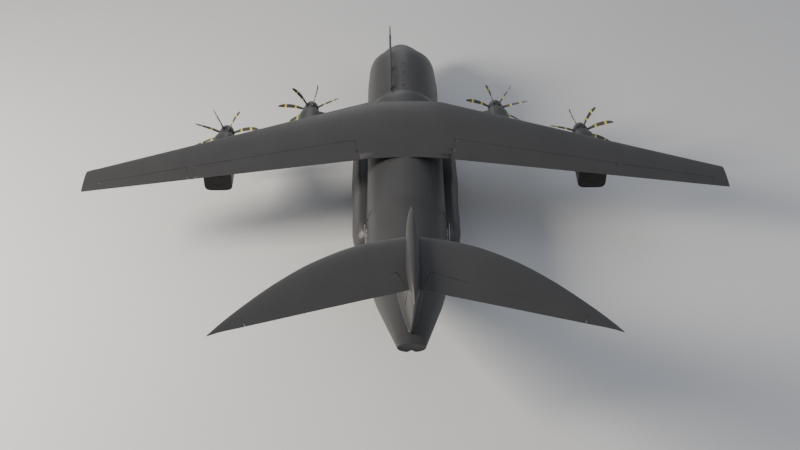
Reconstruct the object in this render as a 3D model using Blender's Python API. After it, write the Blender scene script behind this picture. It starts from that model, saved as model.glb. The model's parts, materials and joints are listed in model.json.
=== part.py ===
"""Four-engined military transport aircraft standing on its gear, built as a 1:2 scale model.

Every size below is the full-size aircraft's, in metres. The last step reduces the whole model by
SCALE, so that it is under 40 m long. A station is the distance aft of the nose tip. The nose points
to -Y, the port side is +X and the wheels stand on z = 0.
"""
import math

import bmesh
import bpy
from mathutils import Matrix, Vector

SCALE = 0.5                     # the finished model is half of full size

# Driving dimensions, full size
LENGTH = 44.9                   # nose tip to tailplane tips
SPAN = 42.4                     # wing tip to wing tip
FUSELAGE_HALF_WIDTH = 2.65
FUSELAGE_BELLY = 1.25           # height of the belly above the ground
FUSELAGE_CROWN = 6.55
FUSELAGE_WIDEST = 3.90          # height at which the section is widest
WALL = 0.16                     # frames and skin together
SEAT = 0.0003 / SCALE           # two pieces that touch
RUN = 0.008 / SCALE             # two pieces that move past each other
PIN_FIT = 0.0004 / SCALE        # a pin's corners in its bore
FUSELAGE_SIDES = 32             # points round a fuselage section

# Stations at which the fuselage is jointed
RADOME_END = 1.10
COCKPIT_END = 7.00
FORWARD_END = 12.45
CENTRE_END = 25.20
REAR_END = 35.20
TAIL_END = 38.26

# Fuselage sections: station, half width, belly height, crown height, height of the widest point
FUSELAGE = (
    (0.00, 0.10, 2.92, 3.12, 3.02),
    (0.12, 0.47, 2.62, 3.42, 3.00),
    (0.50, 0.97, 2.20, 3.66, 2.96),
    (RADOME_END, 1.41, 1.90, 3.92, 2.94),
    (2.70, 2.03, 1.50, 4.50, 3.12),
    (4.35, 2.40, 1.33, 5.46, 3.46),
    (5.30, 2.53, 1.28, 6.05, 3.67),
    (COCKPIT_END, 2.60, FUSELAGE_BELLY, 6.47, 3.87),
    (9.00, FUSELAGE_HALF_WIDTH, FUSELAGE_BELLY, FUSELAGE_CROWN, FUSELAGE_WIDEST),
    (FORWARD_END, FUSELAGE_HALF_WIDTH, FUSELAGE_BELLY, FUSELAGE_CROWN, FUSELAGE_WIDEST),
    (CENTRE_END, FUSELAGE_HALF_WIDTH, FUSELAGE_BELLY, FUSELAGE_CROWN, FUSELAGE_WIDEST),
    (27.20, 2.62, 1.32, FUSELAGE_CROWN, FUSELAGE_WIDEST),
    (29.00, 2.53, 1.85, 6.54, 4.05),
    (31.00, 2.38, 2.75, 6.52, 4.45),
    (33.00, 2.10, 3.62, 6.48, 4.85),
    (REAR_END, 1.57, 4.50, 6.43, 5.30),
    (TAIL_END, 0.80, 5.68, 6.35, 6.02),
)

FLOOR_TOP = 2.30                # cargo floor
FLOOR_DEPTH = 0.20
FLIGHT_DECK_TOP = 3.55

# Cargo ramp and the door above it: station and height of the hinges
RAMP_HINGE = (27.42, 1.62)
RAMP_HALF_WIDTH = 1.70
RAMP_END = 32.20
RAMP_SILL = 3.44                # height of the ramp's deck at its end
DOOR_HINGE = (34.97, 4.64)
DOOR_HALF_WIDTHS = (1.50, 0.80)  # at the door's front and at its hinge
DOOR_JOINT = 0.03               # gap between ramp and door
RAMP_NOSE = (0.24, 1.10)        # radius and half width of the ramp's round front edge
RAMP_LUG = (0.716, 0.864)       # the fuselage's hinge lugs, distances out

# Crew door, port side: stations, heights
CREW_DOOR = ((7.50, 8.42), (2.40, 4.20))

# Paratroop doors, both sides: stations, heights
PARA_DOOR = ((25.95, 26.95), (2.45, 4.45))

# Cockpit panes: where each is cut from, the outline in that view, as (x or station, station or
# height) rows. Panes seen from above are cut downwards, the others sideways
PANES = (
    ("above", ((0.07, 3.00), (0.80, 3.08), (0.98, 4.12), (0.07, 4.12))),
    ("side", ((3.30, 4.31), (4.02, 4.43), (4.02, 4.95), (3.86, 4.95))),
    ("side", ((4.20, 4.45), (4.85, 4.52), (4.85, 5.03), (4.20, 5.00))),
)
GLASS = (-0.05, -0.10)          # depth of the panes in the wall

# Wing
WING_ROOT = 2.64                # the swept panels start here
WING_TIP = SPAN / 2
WING_LE = (14.12, 14.37, 21.45)  # stations of the leading edge at centre, root and tip
WING_TE = (20.88, 21.05, 23.60)
WING_LE_HEIGHT = (6.72, 6.68, 6.02)
WING_TE_HEIGHT = (6.66, 6.60, 5.95)
WING_THICKNESS = (0.155, 0.150, 0.110)  # share of the chord
CAMBER = 0.015
# Surfaces on the wing: distance out of the hinge line's ends, share of the chord at the hinge
FLAP = (3.40, 14.10, 0.72)
AILERON = (14.55, 20.30, 0.72)
# Degrees that each surface turns towards its underside and its upper side, or to either side
FLAP_TURNS = (38, 0)
AILERON_TURNS = (25, 25)
ELEVATOR_TURNS = (15, 28)
RUDDER_TURNS = (28, 28)
SKIN_SLOPE = 3                  # degrees by which a surface's skin closes towards its trailing edge
# Wing fairing: station, how proud it is
FAIRING = ((12.45, 0.10), (13.10, 0.24), (16.50, 0.24), (20.80, 0.11), (24.20, 0.11), (25.19, 0.09))
FAIRING_SIDE = 5.05             # height of the fairing's lower edge

# Engines: outboard distance, station of the propeller, height of its shaft, blade phase port and
# starboard in degrees, turning sense of the port one
ENGINES = (
    ("inner", 6.80, 12.37, 4.86, 28.5, 18.8, 1),
    ("outer", 12.80, 14.82, 4.42, 18.5, 28.5, -1),
)
PROP_RADIUS = 2.45
BLADES = 8
SPINNER_RADIUS = 0.55
SPINNER_LENGTH = 1.33
NACELLE_FRONT = 0.36            # aft of the propeller's plane
SHAFT_RADIUS = 0.13

# Nacelle sections: distance aft of its front, half width, bottom below and top above the shaft.
# A top of None reaches into the wing
NACELLE = (
    (0.00, 0.56, 0.56, 0.58),
    (0.30, 0.72, 0.70, 0.76),
    (0.90, 0.86, 0.82, 0.96),
    (2.60, 0.94, 0.90, 1.26),
    (3.48, 0.95, 0.88, None),
    (5.32, 0.96, 0.76, None),
)
NACELLE_SIDES = 20

# Tail
TAILPLANE_HEIGHT = 13.50
# Tailplane: distance out, stations of the leading and the trailing edge
TAILPLANE = (
    (0.00, 37.70, 41.75),
    (2.70, 38.43, 42.60),
    (5.00, 39.74, 43.33),
    (6.70, 41.23, 43.88),
    (8.10, 42.78, 44.33),
    (9.18, 44.15, 44.68),
    (9.64, 44.83, 44.90),
)
TAILPLANE_THICKNESS = 0.11
# Elevator: distance out and station of the hinge line's ends
ELEVATOR = ((0.80, 40.75), (8.10, 43.86))
# Fin: height, stations of the leading and the trailing edge, thickness as a share of the chord
FIN = (
    (5.90, 29.90, 37.18, 0.235),
    (6.45, 30.40, 37.55, 0.215),
    (7.10, 30.99, 38.00, 0.155),
    (13.20, 36.50, 42.15, 0.120),
)
RUDDER = (7.34, 12.40, 0.73)    # heights of the hinge line's ends, share of the chord
# Bullet on top of the fin: station, half width, bottom and top height
BULLET = (
    (35.56, 0.02, 13.70, 13.76),
    (36.25, 0.19, 13.43, 13.95),
    (38.20, 0.34, 13.10, 14.16),
    (40.30, 0.37, 13.05, 14.20),
    (41.80, 0.26, 13.20, 14.08),
    (43.06, 0.02, 13.62, 13.68),
)

# Landing gear
MAIN_WHEEL_STATIONS = (18.70, 20.30, 21.90)
MAIN_WHEEL_OUT = 2.76           # distance of a leg from the centre line
MAIN_WHEEL = (0.62, 0.36, 0.20)  # radius, distance of a tyre from the leg, half of its width
NOSE_WHEEL_STATION = 4.90
NOSE_WHEEL = (0.48, 0.27, 0.15)
WHEEL_SIDES = 20
AXLE_RADIUS = 0.09
AXLE_SIDES = 24
WELL = ((17.90, 22.70), (2.10, 3.42), 1.95)   # stations, distances out, height of the roof
NOSE_WELL = ((4.05, 5.75), 0.70, 2.20)        # stations, half width, height of the roof
# Sponson: station, distance out, bottom, top
SPONSON = (
    (12.00, 2.55, 2.30, 3.40),
    (12.60, 2.95, 1.75, 3.72),
    (13.60, 3.42, 1.28, 4.00),
    (15.00, 3.68, 1.08, 4.12),
    (19.00, 3.72, 1.05, 4.14),
    (20.80, 3.62, 1.05, 4.12),
    (24.30, 3.60, 1.10, 4.06),
    (25.10, 3.48, 1.42, 3.92),
    (25.62, 3.16, 1.95, 3.66),
    (25.85, 2.60, 2.45, 3.25),
)

# Refuelling probe: distance to port, height, stations of the tip, of the step and of its foot
PROBE = (0.92, 6.75, 3.02, 4.44, 12.40)
PROBE_RADII = (0.055, 0.085)
PROBE_SADDLES = (6.60, 9.20, 11.80)

pivots = {}                     # a point on the joint's axis of each moving piece

MATERIALS = {
    "grey_paint": ((0.23, 0.23, 0.24), 0.42, 0.0),
    "nacelle_paint": ((0.20, 0.20, 0.21), 0.40, 0.0),
    "radome_paint": ((0.17, 0.17, 0.18), 0.50, 0.0),
    "blade_composite": ((0.08, 0.08, 0.085), 0.40, 0.0),
    "tyre_rubber": ((0.03, 0.03, 0.03), 0.85, 0.0),
    "gear_steel": ((0.55, 0.56, 0.57), 0.35, 0.6),
    "window_glass": ((0.04, 0.05, 0.06), 0.05, 0.0),
    "deck_metal": ((0.34, 0.35, 0.35), 0.60, 0.2),
    "trim_metal": ((0.70, 0.70, 0.70), 0.40, 0.3),
}


def at(x, station, height):
    """A point from its distance to port, its station and its height."""
    return Vector((x, station - LENGTH / 2, height))


def blend(a, b, t):
    return a + (b - a) * t


def table_at(table, key):
    """The row of a table at a key between its rows, found along straight lines."""
    for low, high in zip(table, table[1:]):
        if key <= high[0]:
            break
    t = (key - low[0]) / (high[0] - low[0])
    return tuple(blend(a, b, t) for a, b in zip(low, high))


def clear_scene():
    for obj in list(bpy.data.objects):
        bpy.data.objects.remove(obj)


def make_materials():
    for name, (colour, roughness, metallic) in MATERIALS.items():
        material = bpy.data.materials.new(name)
        material.use_nodes = True
        shader = material.node_tree.nodes["Principled BSDF"]
        shader.inputs["Base Color"].default_value = (*colour, 1.0)
        shader.inputs["Roughness"].default_value = roughness
        shader.inputs["Metallic"].default_value = metallic


def flat_faces(points, faces):
    """Splits each four-cornered face that isn't flat along its shorter diagonal."""
    flat = []
    for face in faces:
        if len(face) == 4:
            a, b, c, d = (points[i] for i in face)
            normal = (c - a).cross(d - b)
            if abs((b - a).dot(normal)) > 0.00002 * normal.length:
                k = 0 if (c - a).length < (d - b).length else 1
                turned_face = face[k:] + face[:k]
                flat += [turned_face[:3], (turned_face[0],) + turned_face[2:]]
                continue
        flat.append(face)
    return flat


def solid(name, points, faces, material="grey_paint"):
    """An object from points and faces. Its faces are made flat and turned outwards."""
    mesh = bpy.data.meshes.new(name)
    mesh.from_pydata([tuple(p) for p in points], [], flat_faces(points, faces))
    work = bmesh.new()
    work.from_mesh(mesh)
    bmesh.ops.recalc_face_normals(work, faces=work.faces)
    work.to_mesh(mesh)
    work.free()
    obj = bpy.data.objects.new(name, mesh)
    obj.data.materials.append(bpy.data.materials[material])
    bpy.context.scene.collection.objects.link(obj)
    return obj


def loft(name, rings, material="grey_paint"):
    """A closed solid through rings of equally many points, capped at both ends."""
    sides = len(rings[0])
    points = [p for ring in rings for p in ring]
    faces = [tuple(range(sides)), tuple(range(len(points) - sides, len(points)))]
    for k in range(len(rings) - 1):
        for i in range(sides):
            j = (i + 1) % sides
            faces.append((k * sides + i, k * sides + j, (k + 1) * sides + j, (k + 1) * sides + i))
    return solid(name, points, faces, material)


def tube(name, outer, inner, material="grey_paint"):
    """A shell between two lofted surfaces, open at both ends."""
    sides, count = len(outer[0]), len(outer)
    points = [p for ring in outer + inner for p in ring]
    faces = []
    for k in range(count - 1):
        for i in range(sides):
            j = (i + 1) % sides
            for first in (k * sides, (count + k) * sides):
                faces.append((first + i, first + j, first + sides + j, first + sides + i))
    for k in (0, count - 1):
        for i in range(sides):
            j = (i + 1) % sides
            a, b = k * sides, (count + k) * sides
            faces.append((a + i, a + j, b + j, b + i))
    return solid(name, points, faces, material)


def turned(name, start, direction, profile, sides, material="grey_paint", turn=0.0):
    """A solid of revolution. The profile's rows are (distance along the axis, radius), and a radius
    of 0 closes an end in a point."""
    axis = Vector(direction).normalized()
    side = axis.orthogonal() if abs(axis.x) < 0.9 else Vector((0, 0, 1)) - axis * axis.z
    side.normalize()
    up = axis.cross(side).normalized()
    points, faces, rings = [], [], []
    for along, radius in profile:
        centre = Vector(start) + axis * along
        if radius == 0:
            rings.append([len(points)])
            points.append(centre)
            continue
        rings.append(list(range(len(points), len(points) + sides)))
        for i in range(sides):
            a = 2 * math.pi * (i + 0.5) / sides + turn
            points.append(centre + side * (radius * math.cos(a)) + up * (radius * math.sin(a)))
    for low, high in zip(rings, rings[1:]):
        for i in range(sides):
            j = (i + 1) % sides
            if len(low) == 1:
                faces.append((low[0], high[i], high[j]))
            elif len(high) == 1:
                faces.append((low[i], low[j], high[0]))
            else:
                faces.append((low[i], low[j], high[j], high[i]))
    for ring in (rings[0], rings[-1]):
        if len(ring) > 1:
            faces.append(tuple(ring))
    return solid(name, points, faces, material)


def cylinder(name, start, end, radius, sides=16, material="grey_paint"):
    start, end = Vector(start), Vector(end)
    length = (end - start).length
    return turned(name, start, end - start, ((0, radius), (length, radius)), sides, material)


def box(name, low, high, material="grey_paint"):
    """A block between two corners given as (x, station, height)."""
    (x0, s0, z0), (x1, s1, z1) = low, high
    rings = [[at(x0, s, z0), at(x1, s, z0), at(x1, s, z1), at(x0, s, z1)] for s in (s0, s1)]
    return loft(name, rings, material)


def prism(name, outline, half_width, material="grey_paint"):
    """A side-view outline of (station, height) rows, extruded to both sides. The half width is a
    number or a function of the station."""
    width = half_width if callable(half_width) else (lambda station: half_width)
    rings = [[at(side * width(s), s, z) for s, z in outline] for side in (-1, 1)]
    return loft(name, rings, material)


def apply_boolean(obj, other, operation, keep=False):
    """Changes obj by another solid and removes that one unless it is kept."""
    modifier = obj.modifiers.new(operation, "BOOLEAN")
    modifier.operation = operation
    modifier.object = other
    graph = bpy.context.evaluated_depsgraph_get()
    mesh = bpy.data.meshes.new_from_object(obj.evaluated_get(graph))
    obj.modifiers.clear()
    obj.data = mesh
    work = bmesh.new()
    work.from_mesh(mesh)
    bmesh.ops.remove_doubles(work, verts=work.verts, dist=0.00005)
    bmesh.ops.dissolve_degenerate(work, edges=work.edges, dist=0.00002)
    bmesh.ops.recalc_face_normals(work, faces=work.faces)
    work.to_mesh(mesh)
    work.free()
    if not keep:
        bpy.data.objects.remove(other)
    return obj


def cut(obj, *others, keep=False):
    for other in others:
        apply_boolean(obj, other, "DIFFERENCE", keep)
    return obj


def join(obj, *others):
    for other in others:
        apply_boolean(obj, other, "UNION")
    return obj


def common(obj, other, keep=False):
    return apply_boolean(obj, other, "INTERSECT", keep)


def copy_of(obj, name):
    twin = bpy.data.objects.new(name, obj.data.copy())
    bpy.context.scene.collection.objects.link(twin)
    return twin


def fuselage_ring(station, grow=0.0):
    """The fuselage's section at a station, moved outwards by grow."""
    _, width, belly, crown, widest = table_at(FUSELAGE, station)
    ring = []
    for i in range(FUSELAGE_SIDES):
        a = 2 * math.pi * i / FUSELAGE_SIDES
        height = (crown - widest) if math.sin(a) > 0 else (widest - belly)
        ring.append(at((width + grow) * math.cos(a), station, widest + (height + grow) * math.sin(a)))
    return ring


def stations_between(start, end):
    """The start, the fuselage table's stations inside the stretch, and the end."""
    return [start] + [row[0] for row in FUSELAGE if start < row[0] < end] + [end]


def fuselage_loft(name, start, end, grow=0.0):
    return loft(name, [fuselage_ring(s, grow) for s in stations_between(start, end)])


def fuselage_tube(name, start, end):
    stations = stations_between(start, end)
    return tube(name, [fuselage_ring(s) for s in stations], [fuselage_ring(s, -WALL) for s in stations])


def ramp_outline(gap):
    """Side view of the ramp's space. The joint with the door slopes by 45 degrees."""
    (s, z), rise = RAMP_HINGE, 0.96
    return ((s - gap, 0.5), (s - gap, FLOOR_TOP + 0.5), (s + 3.2, RAMP_SILL + rise),
            (RAMP_END - rise + gap, RAMP_SILL + rise), (RAMP_END + 2.0 + gap, RAMP_SILL - 2.0),
            (RAMP_END + 1.0, 0.5))


def door_outline(gap):
    (s, z), rise = DOOR_HINGE, 0.96
    front = RAMP_END + DOOR_JOINT - gap
    return ((front - rise, RAMP_SILL + rise), (s - 2.4, z + 0.6), (s + gap, z + 0.6), (s + gap, 2.6),
            (front + 1.2, RAMP_SILL - 1.2))


def door_half_width(gap):
    front, back = DOOR_HALF_WIDTHS
    start, end = RAMP_END - 1.0, DOOR_HINGE[0]
    return lambda s: blend(front, back, (s - start) / (end - start)) + gap


def pin_pair(name, start, end, radius, fit=0.0, reach=0.08, inside=0.12, sides=16):
    """Two round pins on one axis, which begin inside their piece and stand out of its ends. As bores,
    they are wider by the corners of the pins."""
    along = (end - start).normalized()
    if fit:
        radius, reach = radius / math.cos(math.pi / sides) + fit, reach + 4 * fit
    return [cylinder(name + "_a", start + along * inside, start - along * reach, radius, sides),
            cylinder(name + "_b", end - along * inside, end + along * reach, radius, sides)]


def hinge_pins(moving, fixed, start, end, radius, reach=0.08):
    """Joins pins to the moving piece and bores the fixed one for them."""
    pivots[moving.name] = (start + end) / 2
    join(moving, *pin_pair("pin", start, end, radius, 0.0, reach))
    cut(fixed, *pin_pair("bore", start, end, radius, PIN_FIT, reach))


def make_fuselage():
    """Radome, cockpit, three hollow barrels, the ramp and door cut from the last one, and the tail cone."""
    radome = fuselage_loft("radome", 0.0, RADOME_END - SEAT)
    radome.data.materials[0] = bpy.data.materials["radome_paint"]
    fuselage_tube("cockpit_section", RADOME_END, COCKPIT_END - SEAT)
    fuselage_tube("forward_fuselage", COCKPIT_END, FORWARD_END - SEAT)
    fuselage_tube("centre_fuselage", FORWARD_END, CENTRE_END - SEAT)
    fuselage_tube("rear_fuselage", CENTRE_END, REAR_END - SEAT)
    fuselage_loft("tail_cone", REAR_END, TAIL_END)


def make_ramp():
    """The ramp is solid between its deck and the skin, and turns down about its front lower edge."""
    rear = bpy.data.objects["rear_fuselage"]
    s, z = RAMP_HINGE
    ramp = fuselage_loft("cargo_ramp", CENTRE_END + 1, REAR_END - 1)
    hollow = fuselage_loft("hollow", CENTRE_END, REAR_END, -WALL)
    slope, back, far = (RAMP_SILL - FLOOR_TOP) / (RAMP_END - s), s - 2, RAMP_END + 4
    deck = ((back, FLOOR_TOP - 2 * slope), (far, FLOOR_TOP + (far - s) * slope), (far, 9), (back, 9))
    cut(ramp, common(hollow, prism("deck", deck, 3)))
    radius, half = RAMP_NOSE
    space = prism("ramp_space", ramp_outline(0.0), RAMP_HALF_WIDTH)
    common(ramp, join(space, cylinder("nose", at(-half, s, z), at(half, s, z), radius, 20)))
    opening = prism("opening", ramp_outline(RUN), RAMP_HALF_WIDTH + RUN)
    cut(rear, join(opening, cylinder("nose", at(-half - RUN, s, z), at(half + RUN, s, z), radius + RUN, 20)))
    inner, outer = RAMP_LUG
    for side in (1, -1):
        low, high = side * (inner - RUN), side * (outer + RUN)
        cut(ramp, box("slot", (low, s - 0.4, z - 0.4), (high, s + 0.001, z + 0.4)))
        cut(ramp, cylinder("slot", at(low, s, z), at(high, s, z), 0.13))
        join(rear, box("lug", (side * inner, s - 0.42, z - 0.08), (side * outer, s + 0.06, z + 0.08)))
    end = inner - RUN
    hinge_pins(ramp, rear, at(-end, s, z), at(end, s, z), 0.04)


def make_cargo_door():
    """The door above the ramp is a piece of the wall, and turns up about its rear edge."""
    rear = bpy.data.objects["rear_fuselage"]
    s, z = DOOR_HINGE
    door = fuselage_tube("cargo_door", CENTRE_END + 1, REAR_END - 0.1)
    common(door, prism("door_space", door_outline(0.0), door_half_width(0.0)))
    cut(rear, prism("opening", door_outline(RUN), door_half_width(RUN)))
    half = DOOR_HALF_WIDTHS[1]
    hinge_pins(door, rear, at(-half, s - 0.08, z), at(half, s - 0.08, z), 0.035)


def panel_in_wall(name, wall, stations, heights, side):
    """A piece of a barrel's wall cut out on one side, with a running gap all round it."""
    (s0, s1), (z0, z1) = stations, heights
    panel = copy_of(wall, name)
    far = 4.0 * side
    common(panel, box("space", (0.8 * side, s0, z0), (far, s1, z1)))
    cut(wall, box("opening", (0.8 * side, s0 - RUN, z0 - RUN), (far, s1 + RUN, z1 + RUN)))
    return panel


def skin_out(station, height):
    """Distance of the outer skin from the centre line at a height."""
    _, width, belly, crown, widest = table_at(FUSELAGE, station)
    reach = (crown - widest) if height > widest else (widest - belly)
    return width * math.sqrt(1 - ((height - widest) / reach) ** 2)


def make_crew_door():
    """The door turns down about its lower edge and carries the steps on its inside."""
    wall = bpy.data.objects["forward_fuselage"]
    (s0, s1), (z0, z1) = CREW_DOOR
    door = panel_in_wall("crew_door", wall, (s0, s1), (z0, z1), 1)
    for k in range(4):
        z = z0 + 0.32 + 0.38 * k
        out = skin_out(s0, z)
        step = box("step", (out - 0.36, s0 + 0.10, z), (out - 0.06, s1 - 0.10, z + 0.05))
        join(door, step)
    x, z = skin_out(s0, z0 + 0.07) - 0.08, z0 + 0.07
    cut(wall, cylinder("relief", at(x, s0 - RUN, z), at(x, s1 + RUN, z), 0.16))
    hinge_pins(door, wall, at(x, s0, z), at(x, s1, z), 0.035)


def make_para_doors():
    wall = bpy.data.objects["rear_fuselage"]
    for name, side in (("paratroop_door_left", 1), ("paratroop_door_right", -1)):
        (s0, s1), (z0, z1) = PARA_DOOR
        panel = copy_of(wall, name)
        common(panel, box("space", (0.8 * side, s0, z0), (4.0 * side, s1, z1)))
        low, high = (0.8 * side, s0 - SEAT, z0 - SEAT), (4.0 * side, s1 + SEAT, z1 + SEAT)
        cut(wall, box("opening", low, high))


def pane_cutters(shrink=0.0):
    """Solids that cut the panes of both sides."""
    cutters = []
    for view, outline in PANES:
        for side in (1, -1):
            if view == "above":
                rings = [[at(side * x, s, z) for x, s in outline] for z in (4.0, 6.6)]
            else:
                rings = [[at(side * x, s, z) for s, z in outline] for x in (0.4, 3.2)]
            cutters.append(loft("pane", rings))
    return cutters


def make_glass():
    """One band of glass in the cockpit's wall, which shows in the six cut panes."""
    cockpit = bpy.data.objects["cockpit_section"]

    def band(name, start, end, low, high, outer, inner):
        stations = stations_between(start, end)
        shell = tube(name, [fuselage_ring(s, outer) for s in stations],
                     [fuselage_ring(s, inner) for s in stations])
        return common(shell, box("space", (-4, start - 1, low), (4, end + 1, high)))

    outer, inner = GLASS
    cut(cockpit, *pane_cutters())
    cut(cockpit, band("slot", 2.80 - SEAT, 5.00 + SEAT, 4.20 - SEAT, 5.44 + SEAT,
                      outer + SEAT, inner - SEAT))
    glass = band("cockpit_glass", 2.80, 5.00, 4.20, 5.44, outer, inner)
    glass.data.materials[0] = bpy.data.materials["window_glass"]


def make_floors():
    floor = fuselage_loft("cargo_floor", COCKPIT_END, RAMP_HINGE[0] - 0.06, -WALL - SEAT)
    deck = box("deck_space", (-3, COCKPIT_END - 1, FLOOR_TOP - FLOOR_DEPTH),
               (3, RAMP_HINGE[0] + 1, FLOOR_TOP))
    common(floor, deck)
    for side in (1, -1):
        # behind the centre barrel the floor is narrower than the tapering wall
        cut(floor, box("edge", (side * 1.44, CENTRE_END - 0.05, 1), (side * 3, RAMP_HINGE[0] + 1, 3)))
    floor.data.materials[0] = bpy.data.materials["deck_metal"]

    (s0, s1), half, roof = NOSE_WELL
    z = FLIGHT_DECK_TOP
    deck = box("flight_deck", (-3, 1.40, z - 0.10), (3, COCKPIT_END - 0.1, z))
    deck.data.materials[0] = bpy.data.materials["deck_metal"]
    join(deck, box("well", (-half - 0.08, s0 - 0.08, 1.0), (half + 0.08, s1 + 0.08, z - 0.05)))
    join(deck, box("panel", (-1.15, 2.30, z - 0.05), (1.15, 2.75, z + 0.60)))
    join(deck, box("console", (-0.22, 2.70, z - 0.05), (0.22, 4.10, z + 0.50)))
    for x in (-0.62, 0.62):
        join(deck, box("seat", (x - 0.26, 3.55, z - 0.05), (x + 0.26, 4.10, z + 0.50)))
        join(deck, box("seat_back", (x - 0.25, 4.02, z), (x + 0.25, 4.20, z + 1.20)))
    common(deck, fuselage_loft("inside", RADOME_END, COCKPIT_END, -WALL - SEAT))
    cut(deck, box("well_space", (-half, s0, 0.5), (half, s1, roof)))
    cockpit = bpy.data.objects["cockpit_section"]
    cut(cockpit, box("well_opening", (-half, s0, 0.5), (half, s1, roof)))


WING_SHARES = (1.0, 0.86, 0.70, 0.52, 0.34, 0.18, 0.07, 0.015, 0.0)
TAIL_SHARES = (1.0, 0.70, 0.42, 0.20, 0.05, 0.0)


def section(le, te, thickness, camber, up=Vector((0, 0, 1)), shares=TAIL_SHARES):
    """An airfoil's ring between two edge points, thickened towards up."""
    chord = (te - le).length
    ring = []
    for side in (1, -1):
        for t in (shares if side == 1 else shares[-2::-1]):
            bow = 4 * camber * t * (1 - t)
            ring.append(le + (te - le) * t + up * (chord * (bow + side * half_thickness(t, thickness))))
    return ring


def half_thickness(t, thickness):
    return 5 * thickness * (0.2969 * math.sqrt(t) - 0.126 * t - 0.3516 * t ** 2
                            + 0.2843 * t ** 3 - 0.1015 * t ** 4) + 0.0015 * t


def wing_edges(out):
    """Leading and trailing edge points and the thickness at a distance out, to port."""
    k = 0 if out < WING_ROOT else 1
    t = out / WING_ROOT if k == 0 else (out - WING_ROOT) / (WING_TIP - WING_ROOT)
    le, te, zl, zt, thick = (blend(row[k], row[k + 1], t) for row in
                             (WING_LE, WING_TE, WING_LE_HEIGHT, WING_TE_HEIGHT, WING_THICKNESS))
    return at(out, le, zl), at(out, te, zt), thick


def mirrored(point):
    return Vector((-point.x, point.y, point.z))


def wing_solid(name, grow=0.0):
    rings = []
    for out in (-WING_TIP, -WING_ROOT, 0.0, WING_ROOT, WING_TIP):
        le, te, thick = wing_edges(abs(out))
        if out < 0:
            le, te = mirrored(le), mirrored(te)
        chord = (te - le).length
        rings.append(section(le - (te - le) * (grow / chord), te + (te - le) * (grow / chord),
                             thick + 2 * grow / chord, CAMBER, shares=WING_SHARES))
    return loft(name, rings)


def hinged_surface(name, parent, start, end, skins, chord, half_height, up, turns, pin=0.04):
    """Cuts a control surface out of a wing-like solid. Its hinge line runs from start to end, its
    nose is round about that line, and its ends stand square to it. The solid's lips are cut back as
    far as the turned surface's skin needs."""
    along = (end - start).normalized()
    aft = along.cross(up).normalized()
    if aft.y < 0:
        aft = -aft
    normal = aft.cross(along).normalized()
    if normal.dot(up) < 0:
        normal = -normal
    length = (end - start).length

    def region(grow, fit=1.0):
        rings = []
        for u in (-grow, length + grow):
            centre = start + along * u
            corners = ((0, -half_height), (chord, -half_height), (chord, half_height), (0, half_height))
            rings.append([centre + aft * a + normal * n for a, n in corners])
        body = loft("region", rings)
        r0, r1 = (fit * skin + grow for skin in skins)
        reach = grow - 0.001        # a little short of the body's ends, so that no faces lie in one plane
        nose = cone("nose", start - along * reach, end + along * reach, r0, r1)
        return join(body, nose)

    def lip(turn, way):
        """The wedge that the skin sweeps ahead of the hinge line when it turns that way."""
        angle = math.radians(turn - SKIN_SLOPE)
        rings = []
        for u, skin in ((0.002 - RUN, skins[0]), (length + RUN - 0.002, skins[1])):
            reach = skin + 1.2 * RUN
            depth = math.cos(angle) * reach + (0.3 + math.sin(angle)) * reach * math.tan(angle)
            rings.append([start + along * u + aft * a + normal * (way * n) for a, n in
                          ((0.3 * reach, 0), (-math.sin(angle) * reach, math.cos(angle) * reach),
                           (0.3 * reach, depth))])
        return loft("lip", rings)

    surface = copy_of(parent, name)
    common(surface, region(0.0, 0.98))
    cut(parent, region(RUN))
    for turn, way in zip(turns, (-1, 1)):
        if turn:
            cut(parent, lip(turn, way))
    hinge_pins(surface, parent, start, end, pin, 0.12)
    return surface


def cone(name, start, end, radius_start, radius_end, sides=20):
    length = (end - start).length
    return turned(name, start, end - start, ((0, radius_start), (length, radius_end)), sides)


def wing_point(out, share):
    """A point on the swept panel's camber line, and half the panel's thickness there."""
    le, te, _ = wing_edges(out)
    chord = (te - le).length
    centre = le + (te - le) * share + Vector((0, 0, 4 * CAMBER * share * (1 - share) * chord))
    ends = []
    for x in (WING_ROOT, WING_TIP):
        le, te, thick = wing_edges(x)
        ends.append(half_thickness(share, thick) * (te - le).length)
    return centre, blend(*ends, (out - WING_ROOT) / (WING_TIP - WING_ROOT))


def make_wing():
    """The wing passes over the barrels. Flaps and ailerons are cut from it, each with its hinge pins."""
    wing = wing_solid("wing")
    cut(wing, fuselage_loft("body", FORWARD_END, CENTRE_END, SEAT))
    up = Vector((0, 0, 1))
    surfaces = (("flap", FLAP, FLAP_TURNS), ("aileron", AILERON, AILERON_TURNS))
    for name, (inner, outer, share), turns in surfaces:
        start, r0 = wing_point(inner, share)
        end, r1 = wing_point(outer, share)
        hinged_surface(name + "_left", wing, start, end, (r0, r1), 4, 0.8, up, turns)
        hinged_surface(name + "_right", wing, mirrored(start), mirrored(end), (r0, r1), 4, 0.8, up, turns)

    fairing = loft("wing_fairing", [fuselage_ring(s, grow) for s, grow in FAIRING])
    common(fairing, box("upper", (-4, FAIRING[0][0] - 1, FAIRING_SIDE), (4, FAIRING[-1][0] + 1, 9)))
    cut(fairing, fuselage_loft("body", FORWARD_END - 1, CENTRE_END + 1, SEAT))
    cut(fairing, wing_solid("wing_space", SEAT))


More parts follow.
